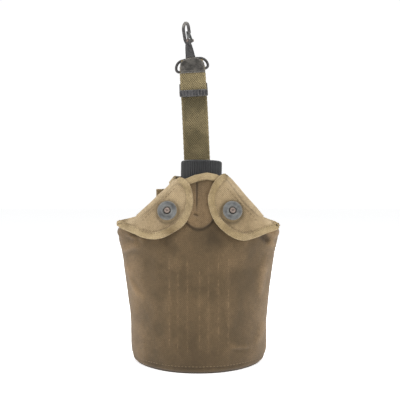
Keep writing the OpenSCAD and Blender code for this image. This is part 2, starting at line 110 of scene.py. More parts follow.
def table(name, z, soft=5.0):
    """A table's value at heights z, with its corners rounded over about soft."""
    heights, values = zip(*COVER[name])
    z = np.asarray(z, float)
    reach = np.minimum(soft, 0.2 + np.abs(z) * 0.35)
    total = 0.0
    for k in (-1, -0.66, -0.33, 0, 0.33, 0.66, 1):
        total = total + np.interp(z + k * reach, heights, values)
    return total / 7


def sway(z):
    return np.interp(z, [SWAY_FROM, THROAT_Z], [0, THROAT_SWAY])


def section(z, d=0.0):
    """The cover's section at height z, grown outward by d: half width, half depth, the depth of its
    middle, how far the sides bend back and how square it is."""
    front, back = table("front", z), table("back", z)
    return (table("width", z) + d, (front + back) / 2 + d, (back - front) / 2, table("bend", z),
            table("square", z))


def squared(c, s, w, half, n):
    """The radius of a squared oval in the direction of cosine c and sine s."""
    return (np.abs(c / w) ** n + np.abs(s / half) ** n) ** (-1 / n)


def cover_ring(theta, z):
    """Points of the cover's section: theta turns from the right over the back."""
    w, half, middle, bend, n = section(z)
    c, s = np.cos(theta), np.sin(theta)
    r = squared(c, s, w, half, n)
    x, y = r * c, r * s
    y = middle + bend * (x / w) ** 2 + y
    return np.stack([x + sway(z), y, z + 0 * x], -1)


def front_y(off, z, d=0.0):
    """The depth of the cover's front, grown outward by d, at off from the middle of the section."""
    w, half, middle, bend, n = section(z, d)
    u = np.minimum(np.abs(off) / w, 1)
    return middle + bend * u * u - half * (1 - u ** n) ** (1 / n)


# ---------------------------------------------------------------- mesh tools
def keep_rest(mesh, points):
    """Smooths the faces and stores the points at rest, which the materials read."""
    mesh.attributes.new("rest", "FLOAT_VECTOR", "POINT").data.foreach_set(
        "vector", points.astype(np.float32).ravel())
    mesh.polygons.foreach_set("use_smooth", [True] * len(mesh.polygons))


def points_of(obj):
    return np.array([v.co for v in obj.data.vertices], float) / MM


def move_points(obj, points):
    obj.data.vertices.foreach_set("co", (points * MM).astype(np.float32).ravel())


def new_object(name, verts, faces, uv=None):
    """A mesh object from millimetre points. uv is one pair of millimetres a point."""
    verts = np.asarray(verts, float).reshape(-1, 3)
    mesh = bpy.data.meshes.new(name)
    mesh.from_pydata((verts * MM).tolist(), [], [list(f) for f in faces])
    mesh.validate()
    if uv is not None:
        layer = mesh.uv_layers.new(name="cloth")
        index = np.empty(len(mesh.loops), np.int32)
        mesh.loops.foreach_get("vertex_index", index)
        layer.data.foreach_set("uv", np.asarray(uv, np.float32).reshape(-1, 2)[index].ravel())
    keep_rest(mesh, verts)
    obj = bpy.data.objects.new(name, mesh)
    bpy.context.collection.objects.link(obj)
    return obj


def grid_faces(rows, cols, close_rows=False, close_cols=False, start=0):
    """Quads of a rows by cols grid of points."""
    found = []
    for i in range(rows if close_rows else rows - 1):
        for j in range(cols if close_cols else cols - 1):
            a, b = i * cols + j, i * cols + (j + 1) % cols
            c, d = ((i + 1) % rows) * cols + (j + 1) % cols, ((i + 1) % rows) * cols + j
            found.append((start + a, start + b, start + c, start + d))
    return found


def drumhead(rim, rings):
    """Copies of a closed rim that shrink to its middle, each one's share, and the faces between."""
    share = np.linspace(1, 0.02, rings)[:, None, None]
    middle = rim.mean(0)
    around = len(rim)
    faces = grid_faces(rings, around, close_cols=True)
    faces.append([(rings - 1) * around + k for k in range(around)])
    return middle + (rim[None] - middle) * share, share[..., 0], faces


def grid_normals(p):
    """Unit normals of a rows by cols grid: across columns, then up rows."""
    du, dv = np.gradient(p, axis=1), np.gradient(p, axis=0)
    n = np.cross(du, dv)
    return n / np.maximum(np.linalg.norm(n, axis=-1, keepdims=True), 1e-9)


def join(name, objects):
    """Several mesh objects made into one, which keeps each one's materials."""
    bpy.ops.object.select_all(action="DESELECT")
    for o in objects:
        o.select_set(True)
    bpy.context.view_layer.objects.active = objects[0]
    bpy.ops.object.join()
    objects[0].name = name
    return objects[0]


def solidify(obj, thickness, offset=-1.0):
    m = obj.modifiers.new("thickness", "SOLIDIFY")
    m.thickness, m.offset = thickness * MM, offset
    return obj


def outward(obj, weld=False):
    """Turns a closed mesh's faces outward; weld joins points that lie on each other first."""
    bm = bmesh.new()
    bm.from_mesh(obj.data)
    if weld:
        bmesh.ops.remove_doubles(bm, verts=bm.verts, dist=WELD_REACH)
    bmesh.ops.recalc_face_normals(bm, faces=bm.faces)
    bm.to_mesh(obj.data)
    bm.free()
    return obj


def revolve(name, profile, steps=48, place=None):
    """A closed solid turned about Z from (radius, height) points; place is a 4x4 in millimetres."""
    profile = np.asarray(profile, float)
    angle = np.linspace(0, 2 * math.pi, steps, endpoint=False)
    p = np.stack([profile[:, :1] * np.cos(angle), profile[:, :1] * np.sin(angle),
                  np.repeat(profile[:, 1:], steps, 1)], -1).reshape(-1, 3)
    rows = len(profile)
    faces = grid_faces(rows, steps, close_cols=True,
                       close_rows=profile[0][0] > 0.01 and profile[-1][0] > 0.01)
    if place is not None:
        m = np.array(place)
        p = p @ m[:3, :3].T + m[:3, 3]
    return outward(new_object(name, p, faces), weld=True)


def spline(points, count, closed=False):
    """A smooth curve through points, as count points evenly spaced along it."""
    p = np.asarray(points, float)
    n = len(p)
    dense = []
    for i in range(n if closed else n - 1):
        a, b = p[(i - 1) % n] if closed or i else p[0], p[i]
        c = p[(i + 1) % n]
        d = p[(i + 2) % n] if closed or i < n - 2 else p[-1]
        t = np.linspace(0, 1, 40, endpoint=False)[:, None]
        dense.append(b + (c - a) * t / 2 + (2 * a - 5 * b + 4 * c - d) * t * t / 2
                     + (3 * b - a - 3 * c + d) * t ** 3 / 2)
    dense = np.concatenate(dense + [p[:1] if closed else p[-1:]])
    along = np.concatenate([[0], np.cumsum(np.linalg.norm(np.diff(dense, axis=0), axis=1))])
    at = np.linspace(0, along[-1], count, endpoint=not closed)
    return np.stack([np.interp(at, along, dense[:, k]) for k in range(dense.shape[1])], -1)


def sweep(name, path, section, up, closed=False, scale=None):
    """A section of (across, over) points carried along a path. up is the over direction, one for all
    or one for each point. Its UV is millimetres across and along."""
    path, section = np.asarray(path, float), np.asarray(section, float)
    n, m = len(path), len(section)
    along = np.roll(path, -1, 0) - np.roll(path, 1, 0)
    if not closed:
        along[0], along[-1] = path[1] - path[0], path[-1] - path[-2]
    along /= np.linalg.norm(along, axis=1, keepdims=True)
    up = np.broadcast_to(np.asarray(up, float), path.shape)
    across = np.cross(along, up)
    across /= np.linalg.norm(across, axis=1, keepdims=True)
    over = np.cross(across, along)
    size = np.ones((n, 2)) if scale is None else np.asarray(scale, float).reshape(n, -1) * np.ones((n, 2))
    p = (path[:, None] + across[:, None] * (section[None, :, :1] * size[:, None, :1])
         + over[:, None] * (section[None, :, 1:] * size[:, None, 1:]))
    length = np.concatenate([[0], np.cumsum(np.linalg.norm(np.diff(path, axis=0), axis=1))])
    uv = np.stack([np.broadcast_to(section[:, 0], (n, m)), np.broadcast_to(length[:, None], (n, m))], -1)
    faces = grid_faces(n, m, close_rows=closed, close_cols=True)
    if not closed:
        faces += [list(range(m)), [(n - 1) * m + k for k in range(m)]]
    return outward(new_object(name, p.reshape(-1, 3), faces, uv.reshape(-1, 2)))


def rounded_rectangle(width, height, radius, steps=4):
    found = []
    for cx, cy, a in ((1, 1, 0), (-1, 1, 90), (-1, -1, 180), (1, -1, 270)):
        for k in range(steps + 1):
            t = math.radians(a + 90 * k / steps)
            found.append((cx * (width / 2 - radius) + radius * math.cos(t),
                          cy * (height / 2 - radius) + radius * math.sin(t)))
    return found


def circle(radius, count):
    """Points round a circle, the first on the right."""
    turns = np.linspace(0, 2 * math.pi, count, endpoint=False)
    return [(radius * math.cos(t), radius * math.sin(t)) for t in turns]


def arc(x, y, radius, start, end, count):
    """Points of an arc about (x, y)."""
    return [(x + radius * math.cos(t), y + radius * math.sin(t)) for t in np.linspace(start, end, count)]


def web_section(width, thick, sides=14):
    """The section of a woven strap: flat faces, and a rounded edge at each side."""
    edge = rounded_rectangle(width, thick, thick * 0.46, 4)
    flat = [(x, thick / 2) for x in np.linspace(width / 2 - thick, -width / 2 + thick, sides)]
    top = [p for p in edge if p[1] > 0]
    low = [p for p in edge if p[1] <= 0]
    right, left = [p for p in top if p[0] > 0], [p for p in top if p[0] < 0]
    under = [(x, -thick / 2) for x in np.linspace(-width / 2 + thick, width / 2 - thick, sides)]
    return right + flat + left + [p for p in low if p[0] < 0] + under + [p for p in low if p[0] > 0]


def slab(name, outline, thick, bevel, place, steps=3):
    """A plate of an outline in X and Z, thick along Y, with rounded edges."""
    outline = np.asarray(outline, float)
    ahead, behind = np.roll(outline, -1, 0) - outline, outline - np.roll(outline, 1, 0)
    ahead /= np.maximum(np.linalg.norm(ahead, axis=1, keepdims=True), 1e-9)
    behind /= np.maximum(np.linalg.norm(behind, axis=1, keepdims=True), 1e-9)
    mean = ahead + behind
    mean /= np.maximum(np.linalg.norm(mean, axis=1, keepdims=True), 1e-9)
    area = np.sum(outline[:, 0] * np.roll(outline[:, 1], -1) - np.roll(outline[:, 0], -1) * outline[:, 1])
    inward = np.stack([-mean[:, 1], mean[:, 0]], -1) * (1 if area > 0 else -1)
    rings = []
    for k in range(steps + 1):
        t = math.pi / 2 * k / steps
        rings.append((bevel * (1 - math.sin(t)), -thick / 2 + bevel * (1 - math.cos(t))))
    rings += [(inset, -y) for inset, y in reversed(rings)]
    p = np.concatenate([np.stack([(outline + inward * i)[:, 0], np.full(len(outline), y),
                                  (outline + inward * i)[:, 1]], -1) for i, y in rings])
    m = np.array(place)
    p = p @ m[:3, :3].T + m[:3, 3]
    n = len(outline)
    faces = grid_faces(len(rings), n, close_cols=True)
    faces += [list(range(n)), [(len(rings) - 1) * n + k for k in range(n)]]
    return outward(new_object(name, p, faces))


def merge_cast(obj, voxel, smooth=4, factor=0.5):
    """Fuses overlapping shells into one cast body with soft inner corners."""
    bpy.context.view_layer.objects.active = obj
    m = obj.modifiers.new("fuse", "REMESH")
    m.mode, m.voxel_size, m.use_smooth_shade = "VOXEL", voxel * MM, True
    s = obj.modifiers.new("soften", "SMOOTH")
    s.factor, s.iterations = factor, smooth
    depsgraph = bpy.context.evaluated_depsgraph_get()
    mesh = bpy.data.meshes.new_from_object(obj.evaluated_get(depsgraph))
    obj.modifiers.clear()
    obj.data = mesh
    if "rest" in mesh.attributes:
        mesh.attributes.remove(mesh.attributes["rest"])
    keep_rest(mesh, points_of(obj))
    return obj


def frame_at(place, z_axis, x_hint=(1, 0, 0)):
    """A 4x4 whose Z is z_axis at place, and whose X lies nearest to x_hint."""
    z = np.asarray(z_axis, float)
    z = z / np.linalg.norm(z)
    x = np.asarray(x_hint, float) - z * np.dot(x_hint, z)
    x = x / np.linalg.norm(x)
    m = np.eye(4)
    m[:3, 0], m[:3, 1], m[:3, 2], m[:3, 3] = x, np.cross(z, x), z, place
    return m


def noise_field(points, size, octaves=3, seed=0.0):
    """Smooth noise from -1 to 1 at millimetre points, with features about size across."""
    flat = np.asarray(points, float).reshape(-1, 3) / size + seed
    values = [noise.fractal(Vector(p), 1.0, 2.0, octaves,
                            noise_basis="PERLIN_ORIGINAL") for p in flat.tolist()]
    return np.array(values).reshape(np.asarray(points).shape[:-1])


def smoothstep(a, b, v):
    t = np.clip((np.asarray(v, float) - a) / (b - a), 0, 1)
    return t * t * (3 - 2 * t)


def bell(v, width):
    """1 where v is 0, fading over width."""
    return np.exp(-(v / width) ** 2)


def ridge(x, z, start, end, width):
    """1 along the line from start to end in X and Z, fading over width and at both ends."""
    a, b = np.array(start, float), np.array(end, float)
    d = b - a
    length = np.linalg.norm(d)
    t = ((x - a[0]) * d[0] + (z - a[1]) * d[1]) / length ** 2
    near = np.clip(t, 0, 1)
    gap = np.hypot(x - a[0] - near * d[0], z - a[1] - near * d[1])
    fade = smoothstep(-0.15, 0.25, t) * (1 - smoothstep(0.75, 1.15, t))
    return bell(gap, width) * fade


def ridges(x, z, lines):
    """The sum of a table of ridges: start, end, width and height of each."""
    return sum(ridge(x, z, start, end, width) * height for start, end, width, height in lines)


def stitches(name, path, normals, pitch=3.2, length=2.2, thick=0.55, lift=0.1):
    """Thread stitches along a path, each a small bead that dips into the cloth at its ends."""
    path, normals = np.asarray(path, float), np.asarray(normals, float)
    along = np.concatenate([[0], np.cumsum(np.linalg.norm(np.diff(path, axis=0), axis=1))])
    verts, faces = [], []
    count = max(1, int(along[-1] / pitch))
    for k in range(count):
        at = (k + 0.5) * along[-1] / count
        sample = [np.array([np.interp(s, along, path[:, c]) for c in range(3)])
                  for s in np.linspace(at - length / 2, at + length / 2, 5)]
        n = np.array([np.interp(at, along, normals[:, c]) for c in range(3)])
        n /= np.linalg.norm(n)
        d = sample[-1] - sample[0]
        d /= max(np.linalg.norm(d), 1e-9)
        side = np.cross(d, n)
        base = len(verts)
        for i, p in enumerate(sample):
            t = i / 4
            r = thick / 2 * (0.35 + 0.65 * math.sin(math.pi * t) ** 0.5 if 0 < t < 1 else 0.3)
            rise = lift + thick * (0.35 * math.sin(math.pi * t) - 0.35)
            for q in range(6):
                a = 2 * math.pi * q / 6
                verts.append(p + n * (rise + r * math.sin(a)) + side * r * math.cos(a))
        faces += grid_faces(5, 6, close_cols=True, start=base)
        faces += [[base + q for q in range(6)][::-1], [base + 24 + q for q in range(6)]]
    return outward(new_object(name, np.array(verts), faces))


def edge_wear(obj, gain=1.0):
    """Writes "wear", which is high on outward edges, where handling rubs a finish away."""
    bm = bmesh.new()
    bm.from_mesh(obj.data)
    values = []
    for v in bm.verts:
        turns = [e.calc_face_angle_signed(0.0) for e in v.link_edges if len(e.link_faces) == 2]
        values.append(max(0.0, sum(turns) / max(1, len(turns))))
    neighbours = [[e.other_vert(v).index for e in v.link_edges] for v in bm.verts]
    bm.free()
    values = np.minimum(np.array(values) * gain, 1)
    for _ in range(2):
        values = np.array([0.5 * values[i] + 0.5 * values[n].mean() if n else values[i]
                           for i, n in enumerate(neighbours)])
    mark(obj, "wear_and_painted_highlight", np.clip(values, 0, 1))
    return obj


def mark(obj, name, values):
    """Stores one number a point, for the materials to read."""
    if name in obj.data.attributes:
        obj.data.attributes.remove(obj.data.attributes[name])
    layer = obj.data.attributes.new(name, "FLOAT", "POINT")
    layer.data.foreach_set("value", np.asarray(values, np.float32).ravel())
    return obj


# ---------------------------------------------------------------- materials
def rgb(*levels):
    """A colour given as screen levels from 0 to 255, in Blender's linear values."""
    found = [c / 255 / 12.92 if c <= 10 else ((c / 255 + 0.055) / 1.055) ** 2.4 for c in levels]
    return (*found, 1)


class Look:
    """A material's nodes, built in a few words."""

    def __init__(self, name, cad=False):
        self.cad = cad
        self.material = bpy.data.materials.new(name)
        self.material.use_nodes = True
        self.tree = self.material.node_tree
        self.tree.nodes.clear()
        self.shader = self.node("ShaderNodeBsdfPrincipled")
        out = self.node("ShaderNodeOutputMaterial")
        self.tree.links.new(self.shader.outputs[0], out.inputs[0])

    def node(self, kind, **settings):
        n = self.tree.nodes.new(kind)
        for key, value in settings.items():
            setattr(n, key, value)
        return n

    def put(self, socket, value):
        if isinstance(value, bpy.types.NodeSocket):
            self.tree.links.new(value, socket)
        else:
            socket.default_value = value

    def math(self, operation, a, b=0.0, clamp=False):
        n = self.node("ShaderNodeMath", operation=operation, use_clamp=clamp)
        self.put(n.inputs[0], a)
        self.put(n.inputs[1], b)
        return n.outputs[0]

    def mix(self, factor, a, b, blend="MIX"):
        n = self.node("ShaderNodeMix", data_type="RGBA", blend_type=blend)
        self.put(n.inputs[0], factor)
        self.put(n.inputs[6], a)
        self.put(n.inputs[7], b)
        return n.outputs[2]

    def ramp(self, value, low, high, to_low=0.0, to_high=1.0):
        n = self.node("ShaderNodeMapRange", interpolation_type="SMOOTHSTEP")
        for socket, v in zip(n.inputs, (value, low, high, to_low, to_high)):
            self.put(socket, v)
        return n.outputs[0]

    def place(self):
        """The point at rest, in millimetres; the CAD's own pieces have it as object coordinates."""
        if self.cad:
            return self.scaled(self.node("ShaderNodeTexCoord").outputs["Object"], (1000, 1000, 1000))
        return self.node("ShaderNodeAttribute", attribute_name="rest").outputs["Vector"]

    def number(self, name):
        return self.node("ShaderNodeAttribute", attribute_name=name).outputs["Fac"]

    def noise(self, vector, scale, detail=3.0, rough=0.55):
        n = self.node("ShaderNodeTexNoise")
        self.put(n.inputs["Vector"], vector)
        for key, v in (("Scale", scale), ("Detail", detail), ("Roughness", rough)):
            self.put(n.inputs[key], v)
        return n.outputs["Fac"]

    def scaled(self, vector, by):
        n = self.node("ShaderNodeVectorMath", operation="MULTIPLY")
        self.put(n.inputs[0], vector)
        self.put(n.inputs[1], by)
        return n.outputs[0]

    def bump(self, height, distance, strength=1.0):
        n = self.node("ShaderNodeBump")
        self.put(n.inputs["Height"], height)
        self.put(n.inputs["Distance"], distance * MM)
        self.put(n.inputs["Strength"], strength)
        self.put(self.shader.inputs["Normal"], n.outputs[0])

    def finish(self, colour, roughness, **sockets):
        self.put(self.shader.inputs["Base Color"], colour)
        self.put(self.shader.inputs["Roughness"], roughness)
        for key, value in sockets.items():
            self.put(self.shader.inputs[key.replace("_", " ")], value)
        return self.material


def cloth(name, dark, light, pale_tone, pitch, web=False, stained=0.35, sheen=0.12):
    """Woven cotton: threads in millimetres of UV, mottled dye, pale spots of wear and painted highlight, and
    dark spots of painted shade and dirt.
    """
    m = Look(name)
    uv = m.node("ShaderNodeUVMap", uv_map="cloth").outputs[0]
    drift = m.noise(m.scaled(uv, (0.11, 0.11, 0)), 1.0, 2.0)
    parts = m.node("ShaderNodeSeparateXYZ")
    m.put(parts.inputs[0], uv)
    bend = m.math("MULTIPLY", drift, 1.2)
    u = m.math("MULTIPLY", m.math("ADD", parts.outputs[0], bend), math.pi / pitch[0])
    v = m.math("MULTIPLY", m.math("ADD", parts.outputs[1], bend), math.pi / pitch[1])
    if web:
        a = m.math("SINE", m.math("ADD", u, v))
        b = m.math("SINE", m.math("SUBTRACT", u, v))
        weave = m.math("POWER", m.math("ABSOLUTE", m.math("MULTIPLY", a, b)), 0.55)
    else:
        weave = m.math("ADD", m.math("MULTIPLY", m.math("MULTIPLY", m.math("SINE", u), m.math("SINE", v)),
                                     0.5), 0.5)
    place = m.place()
    slub = m.noise(m.scaled(uv, (1.9, 0.22, 0)), 1.0, 3.0)
    cross = m.noise(m.scaled(uv, (0.22, 1.9, 0)), 1.0, 3.0)
    fuzz = m.noise(m.scaled(uv, (2.6, 2.6, 1)), 1.0, 3.0, 0.7)
    threads = m.math("ADD", m.math("MULTIPLY", slub, 0.5), m.math("MULTIPLY", cross, 0.5))
    mottle = m.noise(place, 0.035, 4.0, 0.6)
    patch = m.noise(place, 0.011, 3.0, 0.5)
    colour = m.mix(m.ramp(mottle, 0.36, 0.66), rgb(*dark), rgb(*light))
    colour = m.mix(m.ramp(patch, 0.45, 0.75, 0.0, stained), colour, rgb(*[c * 0.78 for c in dark]))
    # Paler where marked: worn cloth, and on the cover's side edges a painted highlight.
    worn_and_highlit = m.math("MULTIPLY", m.number("wear_and_painted_highlight"), m.ramp(threads, 0.3, 0.6, 0.45, 1.1), clamp=True)
    colour = m.mix(worn_and_highlit, colour, rgb(*pale_tone))
    depth = 0.74 if web else 0.24
    shade = m.ramp(weave, 0.0, 0.75, 1 - depth, 1.06)
    shade = m.math("MULTIPLY", shade, m.ramp(threads, 0.34, 0.66, 0.86, 1.12))
    shade = m.math("MULTIPLY", shade, m.ramp(fuzz, 0.3, 0.72, 0.84, 1.16))
    # Darker where marked: painted shade, with some dirt on the strap.
    shade = m.math("MULTIPLY", shade, m.ramp(m.number("painted_shade_and_dirt"), 0.0, 1.0, 1.0, 0.42))
    grey = m.node("ShaderNodeCombineColor")
    for socket in grey.inputs:
        m.put(socket, shade)
    colour = m.mix(1.0, colour, grey.outputs[0], "MULTIPLY")
    height = m.math("ADD", weave, m.math("MULTIPLY", fuzz, 0.5))
    height = m.math("ADD", height, m.math("MULTIPLY", threads, 0.8))
    m.bump(height, 0.55 if web else 0.22, 0.75)
    rough = m.ramp(fuzz, 0.2, 0.8, 0.86, 0.98)
    return m.finish(colour, rough, Sheen_Weight=sheen, Sheen_Roughness=0.6, Specular_IOR_Level=0.15)


def metal(name, paint, under, rough=0.42, metallic=0.85, chips=0.5, grain=0.5, cad=False):
    """Metal under a dark finish that has worn off the edges and in spots."""
    m = Look(name, cad)
    place = m.place()
    spots = m.noise(place, 0.55, 5.0, 0.65)
    smudge = m.noise(place, 0.16, 3.0, 0.6)
    fine = m.noise(place, 2.4, 3.0, 0.6)
    edge = m.math("MULTIPLY", m.number("wear_and_painted_highlight"), m.ramp(spots, 0.32, 0.62, 0.15, 1.25), clamp=True)
    bare = m.math("MAXIMUM", edge, m.ramp(spots, 0.64, 0.74, 0.0, chips))
    tone = m.mix(m.ramp(smudge, 0.35, 0.7), rgb(*[c * 0.78 for c in paint]),
                 rgb(*[c * 1.16 for c in paint]))
    colour = m.mix(bare, tone, rgb(*under))
    m.bump(m.math("ADD", m.math("MULTIPLY", fine, 0.5), spots), 0.16 * grain + 0.02, 0.6)
    roughness = m.math("ADD", m.ramp(smudge, 0.3, 0.7, rough - 0.08, rough + 0.12),
                       m.math("MULTIPLY", fine, 0.08))
    return m.finish(colour, roughness, Metallic=metallic)


def plain(name, dark, light, rough, scale=0.4, bump=0.1, cad=False, **sockets):
    """Plastic, rubber or felt: two close tones, a fine grain, and pale worn edges and painted highlights."""
    m = Look(name, cad)
    place = m.place()
    tone = m.noise(place, scale * 0.3, 4.0, 0.6)
    fine = m.noise(place, scale * 6, 4.0, 0.7)
    colour = m.mix(m.ramp(tone, 0.35, 0.68), rgb(*dark), rgb(*light))
    # Paler where marked: worn edges, and a painted highlight along the cap's top rim.
    worn_and_highlit = m.math("MULTIPLY", m.number("wear_and_painted_highlight"), m.ramp(tone, 0.3, 0.6, 0.4, 1.0), clamp=True)
    colour = m.mix(worn_and_highlit, colour, rgb(*[min(255, c * 1.35 + 8) for c in light]))
    m.bump(fine, bump, 0.6)
    return m.finish(colour, m.ramp(fine, 0.3, 0.7, rough - 0.06, rough + 0.08), **sockets)


CANVAS = cloth("canvas", (82, 67, 46), (93, 76, 53), (146, 120, 88), (0.9, 0.9), stained=0.14)
FLAP_CANVAS = cloth("flap_canvas", (132, 113, 84), (156, 136, 104), (190, 170, 138), (0.9, 0.9),
                    stained=0.2)
BINDING = cloth("binding", (118, 100, 70), (146, 127, 92), (186, 166, 130), (0.7, 1.3), stained=0.3)
WEBBING = cloth("webbing", (86, 77, 52), (108, 96, 67), (152, 136, 100), (2.1, 2.5), web=True, stained=0.4)
BAND = cloth("band_webbing", (130, 112, 84), (154, 134, 102), (184, 164, 130), (1.5, 1.7), web=True)
THREAD = plain("thread", (112, 92, 62), (142, 120, 86), 0.85, 1.0, 0.05, Sheen_Weight=0.1)
THREAD_DARK = plain("thread_dark", (104, 86, 60), (126, 106, 76), 0.85, 1.0, 0.05, Sheen_Weight=0.1)
FELT = plain("felt", (92, 88, 76), (112, 106, 92), 0.95, 0.9, 0.5, Sheen_Weight=0.3)
# Paint, bare metal, roughness, metallic, chips and grain.
STEEL_FINISH = (176, 178, 180), (214, 214, 212), 0.34, 1.0, 0.2, 0.2
BLACK_FINISH = (62, 61, 62), (138, 134, 128), 0.5, 0.55, 0.5, 0.7
SNAP_FINISH = (98, 99, 98), (146, 142, 134), 0.55, 0.45, 0.35, 0.5
STUD_FINISH = (128, 112, 104), (180, 166, 154), 0.45, 0.6, 0.3, 0.3
STEEL = metal("bottle_steel", *STEEL_FINISH)
BLACK = metal("black_metal", *BLACK_FINISH)
TIP = metal("tip_metal", (78, 75, 71), (148, 141, 130), 0.46, 0.6, 0.35, 0.6)
SNAP = metal("snap_metal", *SNAP_FINISH)
STUD_METAL = metal("stud_metal", *STUD_FINISH)
CAP = plain("cap_plastic", (13, 13, 14), (22, 22, 23), 0.46, 0.5, 0.07)
RUBBER = plain("gasket_rubber", (58, 42, 32), (74, 56, 44), 0.75, 0.6, 0.1, cad=True)
NECK_STEEL = metal("neck_steel", *STEEL_FINISH, cad=True)
SMALL_DARK = metal("small_dark_metal", *BLACK_FINISH, cad=True)
SMALL_GREY = metal("small_grey_metal", *SNAP_FINISH, cad=True)
SMALL_PALE = metal("small_pale_metal", *STUD_FINISH, cad=True)


def dress(obj, body, material, slot, *nodes):
    """Gives a finished piece its material and its body, and hides the CAD nodes that it stands for."""
    if material is not None:
        obj.data.materials.clear()
        obj.data.materials.append(material)
    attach(obj, body)
    if nodes:
        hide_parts(*nodes)
    return obj


# ---------------------------------------------------------------- the cover
COLS = 420
ROWS = 200
HEM_Z = 3.0
HEM_GROOVE_Z = 5.4
SIDE_RADIUS = 60        # turns the angle from a side seam into millimetres
SHOULDER_GAP = 1.8      # how far inside the fold line the shoulders start to be drawn in
SHOULDER_DRAW = 0.92    # the share of what stands further out that is drawn in
TAPE_WIDTH = 6.4
ring_angle = np.radians(np.linspace(0, 360, COLS, endpoint=False))


def rim_z(x, front_share):
    """The height of the cover's rim: an arch at the front between the flaps, level at the back."""
    arch = np.interp(x, [-22, -16, -8.8, -2.2, 7.4, 14.7, 17.7, 24],
                     [164, 164.5, 166.6, 169.6, 171.6, 170.2, 168.6, 165])
    return arch * front_share + 170.5 * (1 - front_share)


def fold_off(z):
    """How far out a flap's fold line is at height z."""
    return 22.5 + (166.5 - z) * 0.985


